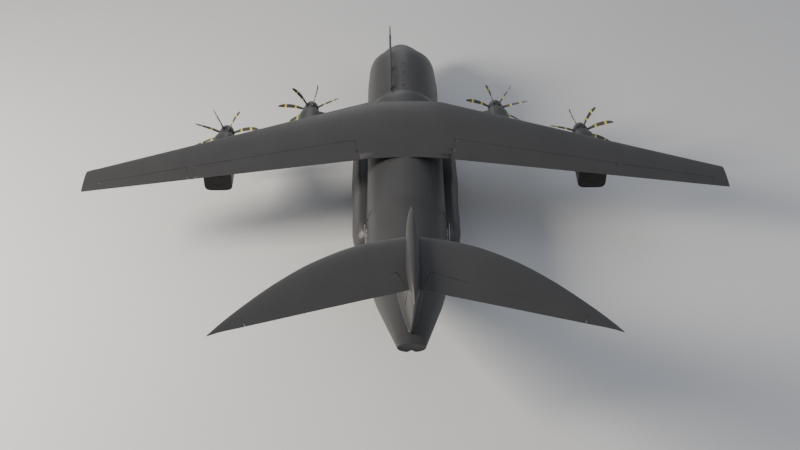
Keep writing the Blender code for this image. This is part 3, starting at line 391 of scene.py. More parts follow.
GREY = (0.044, 0.044, 0.0455)
M = {
    "body": paint("airframe_paint_body", GREY, "body"),
    "wing": paint("airframe_paint_wing", GREY, "wing"),
    "tail": paint("airframe_paint_tail", GREY, "tail"),
    "fin": paint("airframe_paint_fin", GREY, "fin"),
    "nacelle": paint("nacelle_paint", (0.034, 0.034, 0.035), "nacelle"),
    "radome": plain("radome_paint", (0.036, 0.036, 0.0375), 0.50, grain=70),
    "blade": plain("blade_composite", (0.060, 0.058, 0.057), 0.42, grain=90),
    "band": plain("blade_band_paint", (0.62, 0.53, 0.05), 0.42, grain=90),
    "spinner": plain("spinner_paint", (0.040, 0.040, 0.041), 0.38, grain=60),
    "erosion": plain("blade_edge_metal", (0.30, 0.30, 0.30), 0.32, metal=0.8, grain=120),
    # near-black sheets, plugs, studs and collars set in openings, gaps and holes: painted shade
    "dark": plain("opening_painted_shade", (0.012, 0.012, 0.012), 0.75),
    "tyre": plain("tyre_rubber", (0.022, 0.022, 0.022), 0.82, grain=160, depth=0.4,
                  wear=(0.045, 0.042, 0.038)),
    "rim": plain("wheel_rim_paint", (0.42, 0.42, 0.42), 0.40, metal=0.2, wear=(0.20, 0.19, 0.18)),
    "well": plain("wheel_well_paint", (0.20, 0.21, 0.20), 0.62, grain=60),
    "gear": plain("gear_paint", (0.50, 0.51, 0.52), 0.38, metal=0.1, wear=(0.32, 0.30, 0.28)),
    "chrome": plain("piston_chrome", (0.75, 0.75, 0.76), 0.12, metal=1.0, grain=200, depth=0.03),
    "steel": plain("bare_steel", (0.36, 0.35, 0.34), 0.38, metal=0.9, grain=140),
    "exhaust": plain("exhaust_metal", (0.045, 0.043, 0.041), 0.55, metal=0.6, wear=(0.025, 0.024, 0.023)),
    "deck": plain("cargo_deck_metal", (0.30, 0.31, 0.31), 0.52, metal=0.5, grain=110, depth=0.3,
                  wear=(0.44, 0.44, 0.43)),
    "lining": plain("cabin_lining", (0.42, 0.44, 0.42), 0.72, grain=120, depth=0.3),
    "trim": plain("door_frame_trim", (0.36, 0.36, 0.36), 0.45, metal=0.2, wear=(0.24, 0.24, 0.23)),
    "glass": glass("cockpit_glass", (0.030, 0.038, 0.042)),
    # the nacelles' recessed rear faces: near-black as painted shade of faces turned away from the light; the
    # lighter spots are real wear
    "bulkhead": plain("bulkhead_painted_shade", (0.024, 0.0235, 0.023), 0.60, metal=0.4,
                      wear=(0.015, 0.0145, 0.014)),
    "duct": plain("air_duct", (0.50, 0.51, 0.50), 0.60, grain=50),
    "console": plain("console_paint", (0.16, 0.17, 0.18), 0.55, grain=90),
    "screen": plain("display_screen", (0.012, 0.016, 0.020), 0.12, grain=60, depth=0.02, coat=0.4),
    "shield": plain("glareshield", (0.025, 0.025, 0.026), 0.85, grain=180, depth=0.4),
    "rubber": plain("seal_rubber", (0.02, 0.02, 0.02), 0.7, grain=120),
    "seat": plain("seat_fabric", (0.055, 0.065, 0.055), 0.9, grain=220, depth=0.5),
    "lamp": plain("lamp_lens", (0.42, 0.43, 0.42), 0.16, grain=80),
    "red_lens": plain("port_lens", (0.30, 0.012, 0.010), 0.20, grain=80),
    "green_lens": plain("starboard_lens", (0.02, 0.38, 0.10), 0.14, grain=80, coat=0.6),
}


# Pieces

def piece(name, mesh, body, material, smooth=40.0, location=None):
    """A new piece of the scene, which moves with a body."""
    obj = bpy.data.objects.new(name, mesh)
    if location is not None:
        obj.location = location
    for item in (material if isinstance(material, (list, tuple)) else [material]):
        mesh.materials.append(M[item])
    if smooth:
        mesh.shade_smooth()
        mesh.set_sharp_from_angle(angle=math.radians(smooth))
    bpy.context.scene.collection.objects.link(obj)
    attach(obj, body)
    return obj


class Build:
    """Collects simple solids into one mesh. Points lie in the frame, measures are full size."""

    def __init__(self):
        self.bm = bmesh.new()

    def rings(self, rings, index=0, caps=True, closed=True):
        rows = [[self.bm.verts.new(p) for p in ring] for ring in rings]
        n = len(rows[0])
        faces = []
        for low, high in zip(rows, rows[1:]):
            for i in range(n if closed else n - 1):
                j = (i + 1) % n
                faces.append(self.bm.faces.new((low[i], low[j], high[j], high[i])))
        if caps:
            faces.append(self.bm.faces.new(rows[0]))
            faces.append(self.bm.faces.new(rows[-1]))
        for face in faces:
            face.material_index = index
        return rows

    def turned(self, start, direction, profile, sides=32, index=0, hollow=False):
        """A solid of revolution from (distance along, radius) rows. A hollow one is a ring."""
        axis = Vector(direction).normalized()
        side = axis.orthogonal().normalized()
        up = axis.cross(side)
        rings = []
        for along, radius in profile:
            centre = Vector(start) + axis * (along * SCALE)
            turns = [2 * math.pi * i / sides for i in range(sides)]
            rings.append([centre + side * (radius * SCALE * math.cos(a)) + up * (radius * SCALE * math.sin(a))
                          for a in turns])
        if hollow:
            rings.append(rings[0])
        self.rings(rings, index, caps=not hollow)

    def rod(self, start, end, radius, sides=12, index=0, taper=1.0):
        start, end = Vector(start), Vector(end)
        self.turned(start, end - start, ((0, radius), ((end - start).length / SCALE, radius * taper)),
                    sides, index)

    def bar(self, start, end, width, height, up=UP, index=0):
        """A rectangular bar between two points."""
        start, end = Vector(start), Vector(end)
        along = (end - start).normalized()
        side = along.cross(up).normalized() * (width * SCALE / 2)
        tall = side.cross(along).normalized() * (height * SCALE / 2)
        self.rings([[p - side - tall, p + side - tall, p + side + tall, p - side + tall]
                    for p in (start, end)], index)

    def block(self, centre, size, index=0):
        cx, cy, cz = centre
        hx, hy, hz = (s * SCALE / 2 for s in size)
        rings = [[Vector((cx - hx, cy + y, cz - hz)), Vector((cx + hx, cy + y, cz - hz)),
                  Vector((cx + hx, cy + y, cz + hz)), Vector((cx - hx, cy + y, cz + hz))]
                  for y in (-hy, hy)]
        self.rings(rings, index)

    def pipe(self, points, radius, sides=12, index=0):
        """Rods from point to point."""
        for a, b in zip(points, points[1:]):
            self.rod(a, b, radius, sides, index)

    def piece(self, name, body, material, record_slot, smooth=40.0):
        """The solids as a new piece of the scene."""
        return piece(name, self.mesh(name), body, material, smooth)

    def mesh(self, name):
        bmesh.ops.recalc_face_normals(self.bm, faces=self.bm.faces)
        mesh = bpy.data.meshes.new(name)
        self.bm.to_mesh(mesh)
        self.bm.free()
        return mesh


def round_turns(sides, power=1.0):
    """Cosine and sine round a circle. A smaller power makes it squarer."""
    turns = [2 * math.pi * i / sides for i in range(sides)]
    return [[math.copysign(abs(v) ** power, v) for v in (math.cos(a), math.sin(a))] for a in turns]


def oval(width, height, sides=20, power=1.0):
    return [(width / 2 * c, height / 2 * s) for c, s in round_turns(sides, power)]


# Smooth skins: a finer copy of a CAD node, brought from its facets onto the true curve

class BarrelSpace:
    """The fuselage straightened into a prism round the Y axis: x and z in half widths and heights."""

    sides = 32

    def sizes(self, station, ease):
        table = np.array(FUSELAGE)
        keys = np.sqrt(table[:, 0])
        return [curve(keys, table[:, c], np.sqrt(np.maximum(station, 0)), ease) if ease
                else np.interp(station, table[:, 0], table[:, c]) for c in (1, 2, 3, 4)]

    def flat(self, p):
        width, belly, crown, widest = self.sizes(p[:, 1], False)
        tall = np.where(p[:, 2] > widest, crown - widest, widest - belly)
        return np.stack([p[:, 0] / width, p[:, 1], (p[:, 2] - widest) / tall], 1)

    def back(self, q):
        width, belly, crown, widest = self.sizes(q[:, 1], True)
        angle = np.arctan2(q[:, 2], q[:, 0])
        radius = np.hypot(q[:, 0], q[:, 2])
        half = math.pi / self.sides
        facet = math.cos(half) / np.cos(np.mod(angle, 2 * half) - half)
        share = np.clip((radius - 0.80) / 0.12, 0, 1)
        grow = 1 + (1 / facet - 1) * share
        tall = np.where(q[:, 2] > 0, crown - widest, widest - belly)
        return np.stack([q[:, 0] * grow * width, q[:, 1], widest + q[:, 2] * grow * tall], 1)

    def planes(self, low, high):
        stations = [s for s in BARREL_CUTS if low < s < high]
        cuts = [((0, s, 0), (0, 1, 0)) for s in stations]
        for k in range(48):
            a = math.pi * k / 48
            cuts.append(((0, 0, 0), (-math.sin(a), 0, math.cos(a))))
        return cuts


BARREL_CUTS = ([0.15 * k for k in range(8, 50)] + [7.5 + 0.5 * k for k in range(37)]
               + [26.0 + 0.4 * k for k in range(31)])


def half_thickness(t):
    """Half of an airfoil's thickness, as a share of its chord times its thickness."""
    t = np.clip(t, 0, 1)
    return 5 * (0.2969 * np.sqrt(t) - 0.126 * t - 0.3516 * t ** 2 + 0.2843 * t ** 3 - 0.1015 * t ** 4)


class WingSpace:
    """A wing straightened into a prism along its span: (span, share of the chord, share of the thickness)."""

    def __init__(self, rows, shares, camber=0.0, upright=False, ease=True, cuts=(), limit=99.0):
        self.rows = np.array(rows, float)    # span, stations and heights of both edges, thickness
        self.shares = np.array(sorted(shares))
        self.camber, self.upright, self.ease, self.cuts, self.limit = camber, upright, ease, cuts, limit

    def sizes(self, span, ease):
        r = self.rows
        chord = r[:, 2] - r[:, 1]
        columns = (r[:, 1], r[:, 2], r[:, 3], r[:, 4], chord, chord * r[:, 5])
        return [curve(r[:, 0], c, span, ease) for c in columns]

    def split(self, p):
        """Span, its sign, station and the way across."""
        if self.upright:
            return p[:, 2], np.ones(len(p)), p[:, 1], p[:, 0]
        return np.abs(p[:, 0]), np.where(p[:, 0] < 0, -1.0, 1.0), p[:, 1], p[:, 2]

    def ratio(self, t, chord, thick):
        """How much thicker the true section is than the faceted one."""
        def half(share):
            return half_thickness(share) * thick + EDGE * share * chord
        k = np.clip(np.searchsorted(self.shares, t, side="right") - 1, 0, len(self.shares) - 2)
        low, high = self.shares[k], self.shares[k + 1]
        faceted = half(low) + (half(high) - half(low)) * (t - low) / (high - low)
        return np.where((t > 1e-4) & (t < 1 - 1e-6), half(t) / np.maximum(faceted, 1e-6), 1)

    def bow(self, t, chord, shares=None):
        if shares is None:
            return 4 * self.camber * t * (1 - t) * chord
        return np.interp(t, shares, 4 * self.camber * shares * (1 - shares)) * chord

    def flat(self, p):
        span, sign, station, across = self.split(p)
        le, te, zl, zt, chord, thick = self.sizes(span, False)
        t = (station - le) / (te - le)
        z = (across - (zl + (zt - zl) * t) - self.bow(t, chord, self.shares)) / thick
        return np.stack([span * sign, t, z], 1)

    def back(self, q):
        span, sign = (q[:, 0], 1.0) if self.upright else (np.abs(q[:, 0]), np.where(q[:, 0] < 0, -1.0, 1.0))
        le, te, zl, zt, chord, thick = self.sizes(span, self.ease)
        t = q[:, 1]
        grow = np.where(span > self.limit, 1, self.ratio(t, chord, thick))
        z = q[:, 2] * thick * grow + zl + (zt - zl) * t
        z = z + self.bow(t, chord)
        station = le + (te - le) * t
        if self.upright:
            return np.stack([z, station, span], 1)
        return np.stack([span * sign, station, z], 1)

    def planes(self, low, high):
        cuts = [((0, t, 0), (0, 1, 0)) for t in CHORD_CUTS]
        return cuts + [((s, 0, 0), (1, 0, 0)) for s in self.cuts]


CHORD_CUTS = (0.0006, 0.0025, 0.006, 0.010, 0.022, 0.032, 0.045, 0.057, 0.09, 0.12, 0.15, 0.22, 0.26, 0.30,
              0.40, 0.46, 0.58, 0.64, 0.68, 0.735, 0.755, 0.78, 0.82, 0.91, 0.955)


def hinge_lines():
    """Middle, direction, reach and half length of each line that the ramp, a door or a flap turns about."""
    start, end = hinge("flap")[:2]
    ramp_reach, crew_door_reach, thin_reach = 0.16, 0.09, 0.036
    past_end = 0.08
    return [(at(0, *RAMP_HINGE), Vector((1, 0, 0)), ramp_reach, 2),
            (at(0, *CARGO_DOOR_HINGE), Vector((1, 0, 0)), thin_reach, 2),
            (Vector(CREW_DOOR_HINGE), AFT, crew_door_reach, 1),
            ((start + end) / 2, (end - start).normalized(), thin_reach,
             (end - start).length / 2 + past_end)]


def on_hinge_line(p, lines):
    """Whether a point lies by one of the hinge lines. The starboard surfaces mirror the port ones."""
    spot = Vector((p.x if p.y < -4 else abs(p.x), p.y, p.z))
    return any((spot - place).cross(along).length < reach and abs((spot - place).dot(along)) < half
               for place, along, reach, half in lines)


def cut(bm, place, normal, dist):
    """Cuts all faces along a plane and keeps both sides."""
    geometry = bm.verts[:] + bm.edges[:] + bm.faces[:]
    bmesh.ops.bisect_plane(bm, geom=geometry, dist=dist, plane_co=place, plane_no=normal)


def smooth_copy(node, space, material, finish=None, leave_out=None):
    """A finer copy of a CAD node, whose facets are brought onto the smooth shape. It stands for the node."""
    bm = bmesh.new()
    bm.from_mesh(frame["nodes"][node].data)
    bmesh.ops.remove_doubles(bm, verts=bm.verts, dist=1e-6)
    if leave_out:
        bmesh.ops.delete(bm, geom=[v for v in bm.verts if leave_out(v.co)], context="VERTS")
    home, lines = bm.verts.layers.float_vector.new("home"), hinge_lines()
    for v in bm.verts:
        v[home] = v.co
    full = np.array([v.co for v in bm.verts]) / SCALE + np.array((0, LENGTH / 2, 0))
    flat = space.flat(full)
    for v, co in zip(bm.verts, flat):
        v.co = co
    bmesh.ops.dissolve_limit(bm, angle_limit=0.02, verts=bm.verts, edges=bm.edges)
    for place, normal in space.planes(flat[:, 1].min(), flat[:, 1].max()):
        cut(bm, place, normal, 1e-5)
    back = space.back(np.array([v.co for v in bm.verts]))
    for v, co in zip(bm.verts, (back - np.array((0, LENGTH / 2, 0))) * SCALE):
        # points by a hinge line stay where the solid has them, so that moving edges keep their gaps
        v.co = v[home] if on_hinge_line(v[home], lines) else co
    if finish:
        finish(bm)
    bmesh.ops.triangulate(bm, faces=[f for f in bm.faces if len(f.verts) > 4])
    mesh = bpy.data.meshes.new(node + "_skin")
    bm.to_mesh(mesh)
    bm.free()
    obj = piece(node + "_skin", mesh, frame["nodes"][node]["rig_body"], material, 30)
    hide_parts(node)
    return obj


# Materials and shapes of the frame's nodes

NODE_MATERIALS = {
    "body": ("cockpit_section", "forward_fuselage", "centre_fuselage", "rear_fuselage", "tail_cone",
             "cargo_door", "crew_door", "paratroop_door_left", "paratroop_door_right", "wing_fairing",
             "sponson_left", "sponson_right", "refuelling_probe", "nose_gear_door_left",
             "nose_gear_door_right", "cargo_ramp"),
    "wing": ("wing", "flap_left", "flap_right", "aileron_left", "aileron_right"),
    "tail": ("tailplane", "elevator_left", "elevator_right"),
    "fin": ("fin", "rudder"),
    "nacelle": ("nacelle_inner_left", "nacelle_inner_right", "nacelle_outer_left", "nacelle_outer_right"),
    "radome": ("radome",),
    "gear": ("main_gear_left", "main_gear_right", "nose_gear_leg", "nose_gear_fork"),
    "deck": ("cargo_floor", "flight_deck"),
    "glass": ("cockpit_glass",),
}


SMOOTH_BARREL = ("cockpit_section", "forward_fuselage", "centre_fuselage", "rear_fuselage",
                 "cargo_door", "cargo_ramp", "crew_door", "paratroop_door_left", "paratroop_door_right",
                 "wing_fairing")
EDGE = 0.0015    # half thickness of a trailing edge, as a share of the chord
WING_SHARES = (1.0, 0.86, 0.70, 0.52, 0.34, 0.18, 0.07, 0.015, 0.0)
TAIL_SHARES = (1.0, 0.70, 0.42, 0.20, 0.05, 0.0)
WING_CUTS = (1, 2, 3.2, 3.39, 3.6, 4, 6, 8, 10, 12, 13.9, 14.11, 14.33, 14.54, 14.8, 16, 18, 20, 20.31,
             20.5, 20.7, 21, 21.12)
TAILPLANE_HEIGHT = 13.50
TAILPLANE = ((0.00, 37.70, 41.75), (2.70, 38.43, 42.60), (5.00, 39.74, 43.33), (6.70, 41.23, 43.88),
             (8.10, 42.78, 44.33), (9.18, 44.15, 44.68), (9.64, 44.83, 44.90))
TAILPLANE_THICKNESS = 0.11
ELEVATOR = ((0.80, 40.75), (8.10, 43.86))
RUDDER = (7.34, 12.40, 0.73)    # heights of the hinge line's ends, share of the chord
FIN = ((5.90, 29.90, 37.18, 0.235), (6.45, 30.40, 37.55, 0.215), (7.10, 30.99, 38.00, 0.155),
       (13.20, 36.50, 42.15, 0.120))
FIN_SECTION_TOP = 13.21    # above it the fin is no airfoil
FIN_TOP = 13.63            # the part above it lies in the bullet


def dress_frame():
    for material, nodes in NODE_MATERIALS.items():
        for name in nodes:
            obj = frame["nodes"][name]
            obj.data.materials.clear()
            obj.data.materials.append(M[material])


def smooth_frame():
    """Smooth copies of the curved nodes."""
    barrel = BarrelSpace()
    for node in SMOOTH_BARREL:
        smooth_copy(node, barrel, "body")
    smooth_copy("tail_cone", barrel, "body", finish_tail_cone)
    rows = [(out, WING_LE[k], WING_TE[k], WING_LE_HEIGHT[k], WING_TE_HEIGHT[k], WING_THICKNESS[k])
            for k, out in enumerate((0, WING_ROOT, WING_TIP))]
    wing = WingSpace(rows, WING_SHARES, CAMBER, ease=False,
                     cuts=[s * o for s in (-1, 1) for o in WING_CUTS])
    for node in NODE_MATERIALS["wing"]:
        smooth_copy(node, wing, "wing")
    rows = [(out, le, te, TAILPLANE_HEIGHT, TAILPLANE_HEIGHT, TAILPLANE_THICKNESS)
            for out, le, te in TAILPLANE]
    tail = WingSpace(rows, TAIL_SHARES, cuts=[s * 0.2 * k for s in (-1, 1) for k in range(1, 49)])
    for node in NODE_MATERIALS["tail"]:
        smooth_copy(node, tail, "tail")
    rows = [(z, le, te, 0, 0, thick) for z, le, te, thick in FIN]
    fin = WingSpace(rows, TAIL_SHARES, upright=True, ease=False, cuts=[6 + 0.25 * k for k in range(28)],
                    limit=FIN_SECTION_TOP)
    for node in NODE_MATERIALS["fin"]:
        smooth_copy(node, fin, "fin", leave_out=lambda co: co.z > FIN_TOP * SCALE)
    smooth_copy("cockpit_glass", barrel, "glass")


def section_half(t, thick, chord):
    """Half thickness of a tail surface at a share of its chord."""
    return (float(half_thickness(t)) * thick + EDGE * t) * chord


def crown_at(station, x):
    """Height of the fuselage's upper skin at a distance out."""
    width, _, crown, widest = body_sizes(station)
    return widest + (crown - widest) * math.sqrt(max(0, 1 - (x / width) ** 2))


def smooth_rows(table, key):
    """A table's columns at a key, on smooth curves through its rows."""
    columns = list(zip(*table))
    return [float(curve(columns[0], column, np.array([key]))[0]) for column in columns[1:]]


def spread(low, high, count):
    return [low + (high - low) * i / (count - 1) for i in range(count)]


def wing_middle(out, share):
    """Station, camber line height and half thickness of the wing, at a distance out and a chord share."""
    ends, k = [], 1 if out > WING_ROOT else 0
    reach = (0, WING_ROOT, WING_TIP)
    for i in (k, k + 1):
        chord = WING_TE[i] - WING_LE[i]
        bow = 4 * CAMBER * share * (1 - share) * chord
        ends.append((WING_LE[i] + chord * share, blend(WING_LE_HEIGHT[i], WING_TE_HEIGHT[i], share) + bow,
                     float(half_thickness(share)) * WING_THICKNESS[i] * chord + EDGE * share * chord))
    t = (out - reach[k]) / (reach[k + 1] - reach[k])
    return tuple(blend(a, b, t) for a, b in zip(*ends))


def wing_skin(out, station, way=1, lift=0.0):
    """A point on the wing's upper (1) or lower (-1) skin at a distance out, negative to starboard."""
    far = abs(out)
    le, te = wing_middle(far, 0)[0], wing_middle(far, 1)[0]
    _, middle, half = wing_middle(far, min(1.0, max(0.0, (station - le) / (te - le))))
    return at(out, station, middle + way * (half + lift))


def round_ring(centre_x, station, half, low, high, power=1.0, sides=64):
    """A ring across the plane, round or squarer with a smaller power, between two heights."""
    middle, tall = (low + high) / 2, (high - low) / 2
    return [at(centre_x + half * c, station, middle + tall * s) for c, s in round_turns(sides, power)]


def make_radome():
    build = Build()
    rings = []
    for s in [0.0, 0.004, 0.012, 0.025, 0.045, 0.07, 0.10, 0.14, 0.19, 0.25, 0.32, 0.40, 0.50, 0.62, 0.75,
              0.90, 1.0994]:
        width, belly, crown, widest = smooth_rows([(math.sqrt(r[0]), *r[1:]) for r in FUSELAGE],
                                                  math.sqrt(s))
        if s < 0.12:
            share = math.sqrt(s / 0.12)
            width, belly, crown, widest = 0.01 + 0.46 * share, 3.00 - 0.38 * share, 3.04 + 0.38 * share, 3.01
        rings.append([at(width * c, s, widest + ((crown - widest) if r > 0 else (widest - belly)) * r)
                      for c, r in round_turns(96)])
    build.rings(rings)
    obj = build.piece("radome_skin", frame["nodes"]["radome"]["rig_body"], "radome", "radome_paint", 30)
    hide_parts("radome")


def make_nacelles():
    """Round cowls that grow into square rears, with a chin intake and a deep outlet; a near-black plug behind
    the spinner, the intake's throat and the outlet's rear face are painted shade.
    """
    for place, out, station, height, *_ in ENGINES:
        top = wing_middle(out, 0.4)[1] - 0.05 - height
        table = [(aft, half, below, top if above is None else above) for aft, half, below, above in NACELLE]
        front, length = station + NACELLE_FRONT, NACELLE[-1][0]

        def ring(x, aft, share=1.0, behind=None):
            half, below, above = smooth_rows(table, aft)
            power = blend(1.0, 0.42, min(1.0, aft / 4.8))
            place = front + (aft if behind is None else behind)
            return [at(x + share * half * c, place, height + share * (above if s > 0 else below) * s)
                    for c, s in round_turns(64, power)]

        for label, side in SIDES:
            node, x = f"nacelle_{place}_{label}", side * out
            build = Build()
            # a near-black plug just inside the cowl's front, behind the spinner: painted shade of the gap
            build.rings([ring(x, 0, 0.90, 0.10), ring(x, 0, 0.90, 0.02)], 1)
            build.rings([ring(x, 0, 0.90, 0.03), ring(x, 0, 0.93, 0.004), ring(x, 0, 0.97, 0.0)]
                        + [ring(x, aft) for aft in spread(0.02, length - 0.04, 44)]
                        + [ring(x, length, 0.99), ring(x, length, 0.955),
                           ring(x, length, 0.945, length - 0.03)],
                        0, caps=False)
            # the recessed rear face, in the bulkhead colour, which is painted shade
            build.rings([ring(x, length, 0.945, length - 0.03), ring(x, length, 0.93, length - 0.14)], 2)
            # chin intake: a lip, an outer shell that runs into the cowl, and a throat closed by a near-black
            # sheet of painted shade
            shell = ((0.04, 0.40, -0.66, -0.93), (0.02, 0.425, -0.63, -0.955), (0.06, 0.45, -0.60, -0.975),
                     (0.30, 0.49, -0.55, -1.02), (0.90, 0.53, -0.50, -1.04), (1.50, 0.49, -0.50, -1.00),
                     (2.00, 0.36, -0.55, -0.93), (2.30, 0.20, -0.60, -0.88))
            build.rings([round_ring(x, front + 0.55, 0.37, height - 0.90, height - 0.68, 0.7, 40),
                         round_ring(x, front + 0.045, 0.40, height - 0.93, height - 0.66, 0.7, 40)], 1)
            build.rings([round_ring(x, front + aft, half, height + low, height + high, 0.7, 40)
                         for aft, half, high, low in shell], 0, caps=False)
            obj = piece(node + "_skin", build.mesh(node), "airframe", ["nacelle", "dark", "bulkhead"],
                        32)
            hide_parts(node)


def make_bullet():
    build = Build()
    rings = []
    first, last = BULLET[0][0], BULLET[-1][0]
    for k in range(49):
        s = blend(first, last, (1 - math.cos(math.pi * k / 48)) / 2)
        half, bottom, top = smooth_rows(BULLET, s)
        rings.append(round_ring(0, s, half * 1.03 + 0.004, bottom - 0.006, top, 1.0, 48))
    build.rings(rings)
    build.piece("fin_bullet", "airframe", "fin", "grey_paint")


def catmull(points, parts):
    """A smooth line through points."""
    out = []
    for k in range(len(points) - 1):
        p = [Vector(points[max(0, min(len(points) - 1, k + d))]) for d in (-1, 0, 1, 2)]
        for i in range(parts):
            t = i / parts
            out.append(((-t + 2 * t ** 2 - t ** 3) * p[0] + (2 - 5 * t ** 2 + 3 * t ** 3) * p[1]
                        + (t + 4 * t ** 2 - 3 * t ** 3) * p[2] + (-t ** 2 + t ** 3) * p[3]) / 2)
    return out + [Vector(points[-1])]


def even(points, count):
    """The same line with its points at even distances."""
    away = [0.0]
    for a, b in zip(points, points[1:]):
        away.append(away[-1] + (b - a).length)
    out, k = [], 0
    for i in range(count):
        want = away[-1] * i / (count - 1)
        while k < len(points) - 2 and away[k + 1] < want:
            k += 1
        step = away[k + 1] - away[k]
        out.append(points[k].lerp(points[k + 1], (want - away[k]) / step if step > 1e-9 else 0))
    return out


def sponson_outline(station):
    """The sponson's section where it stands out of the fuselage, from below to its top."""
    out, bottom, top = smooth_rows(SPONSON, station)
    width, belly, crown, widest = body_sizes(station)
    tall = top - bottom
    line = catmull(((0.75, bottom + 0.22), (1.45, bottom), (out - 0.80, bottom),
                    (out - 0.34, bottom + 0.09 * tall), (out - 0.10, bottom + 0.26 * tall),
                    (out, bottom + 0.52 * tall), (out - 0.05, bottom + 0.70 * tall),
                    (out - 0.30, bottom + 0.88 * tall), (out - 0.80, top), (1.2, top - 0.1)), 16)

    def outside(p):
        reach = (crown - widest) if p[1] > widest else (widest - belly)
        return math.hypot(p[0] / width, (p[1] - widest) / reach) > 0.985
    seen = [i for i, p in enumerate(line) if outside(p)]
    if len(seen) < 4:
        return None
    return even(line[seen[0]:seen[-1] + 1], 49)


def make_sponsons():
    (s0, s1), (x0, x1), roof = WELL
    stations = sorted(set(spread(12.02, 13.6, 20) + spread(13.6, 24.3, 30) + spread(24.3, 25.83, 22)))
    lines = [(s, line) for s, line in ((s, sponson_outline(s)) for s in stations) if line]
    for end, away in ((0, -0.02), (-1, 0.02)):
        # a last row sunk into the fuselage's side closes the end
        station = lines[end][0] + away
        width, belly, crown, widest = body_sizes(station)
        closing = []
        for p in lines[end][1]:
            tall = (crown - widest) if p[1] > widest else (widest - belly)
            share = 0.975 / math.hypot(p[0] / width, (p[1] - widest) / tall)
            closing.append(Vector((p[0] * share, widest + (p[1] - widest) * share)))
        lines.insert(0 if end == 0 else len(lines), (station, closing))
    for label, side in SIDES:
        build = Build()
        build.rings([[at(side * p[0], s, p[1]) for p in line] for s, line in lines], caps=False,
                    closed=False)
        bm = build.bm
        for place, normal in ((at(side * x0, 0, 0), (1, 0, 0)), (at(side * x1, 0, 0), (1, 0, 0)),
                              (at(0, s0, 0), (0, 1, 0)), (at(0, s1, 0), (0, 1, 0))):
            cut(bm, place, normal, 1e-6)
        low, high = at(0, s0, 0).y, at(0, s1, 0).y
        hole = [f for f in bm.faces if x0 * SCALE < abs(f.calc_center_median().x) < x1 * SCALE
                and low < f.calc_center_median().y < high and f.calc_center_median().z < 1.6 * SCALE]
        inside = set(hole)
        rim = [e for e in bm.edges if 0 < sum(f in inside for f in e.link_faces) < len(e.link_faces)]
        bmesh.ops.delete(bm, geom=hole, context="FACES")
        rim = [e for e in rim if e.is_valid and len(e.link_faces) == 1]
        walls = bmesh.ops.extrude_edge_only(bm, edges=rim)["geom"]
        for v in walls:
            if isinstance(v, bmesh.types.BMVert):
                v.co.z = roof * SCALE
        for f in walls:
            if isinstance(f, bmesh.types.BMFace):
                f.material_index = 1
        edges = [e for e in walls if isinstance(e, bmesh.types.BMEdge)
                 and all(abs(v.co.z - roof * SCALE) < 1e-6 for v in e.verts)]
        for f in bmesh.ops.contextual_create(bm, geom=edges)["faces"]:
            f.material_index = 1
        obj = piece(f"sponson_{label}_skin", build.mesh("sponson_" + label), "airframe", ["body", "well"],
                    35)
        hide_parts("sponson_" + label)


def make_probe():
    """The probe: a thin nozzle, a stepped mast and three slim feet on the roof."""
    x, z, tip, step, foot = PROBE
    slim, wide = PROBE_RADII
    build = Build()
    profile = [(0.0, 0.020), (0.0, 0.032), (0.02, 0.038), (0.16, 0.038), (0.17, 0.048), (0.22, 0.048),
               (0.23, 0.040), (0.34, 0.040), (0.40, slim * 0.86), (0.55, slim * 0.93),
               (step - tip - 0.05, slim), (step - tip + 0.10, wide), (foot - tip - 1.4, wide),
               (foot - tip - 0.5, wide * 0.8), (foot - tip, 0.03)]
    build.turned(at(x, tip, z), AFT, profile, 36)
    for s in PROBE_SADDLES:
        rings = []
        for drop, half, thick in ((0.02, 0.24, 0.045), (0.10, 0.20, 0.036), (0.30, 0.24, 0.045),
                                  (0.75, 0.34, 0.06)):
            rings.append([at(x + thick * v, s + half * u, z - drop) for u, v in oval(2, 2, 24)])
        build.rings(rings)
    build.turned(at(x, step + 0.35, z), AFT,
                 [(0, wide * 1.0), (0.01, wide * 1.1), (0.06, wide * 1.1), (0.07, wide * 1.0)], 36)
    obj = piece("probe_skin", build.mesh("probe"), "airframe", "body", 35)
    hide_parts("refuelling_probe")


def hinge(name):
    """A control surface's hinge line to port: its ends, the skin's half thickness there and the way up."""
    if name in ("flap", "aileron"):
        inner, outer, share = FLAP if name == "flap" else AILERON
        ends = [(at(out, wing_middle(out, share)[0], wing_middle(out, share)[1]),
                 wing_middle(out, share)[2])
                for out in (inner, outer)]
        up = UP
    elif name == "elevator":
        ends, up = [], UP
        for out, station in ELEVATOR:
            _, le, te = table_at(TAILPLANE, out)
            half = section_half((station - le) / (te - le), TAILPLANE_THICKNESS, te - le)
            ends.append((at(out, station, TAILPLANE_HEIGHT), half))
    else:
        ends, up = [], Vector((1, 0, 0))
        for z in RUDDER[:2]:
            _, le, te, thick = table_at(FIN, z)
            ends.append((at(0, blend(le, te, RUDDER[2]), z), section_half(RUDDER[2], thick, te - le)))
    (start, r0), (end, r1) = ends
    along = (end - start).normalized()
    aft = along.cross(up).normalized()
    if aft.y < 0:
        aft = -aft
    normal = aft.cross(along).normalized()
    return start, end, r0 * SCALE, r1 * SCALE, aft, (normal if normal.dot(up) > 0 else -normal)


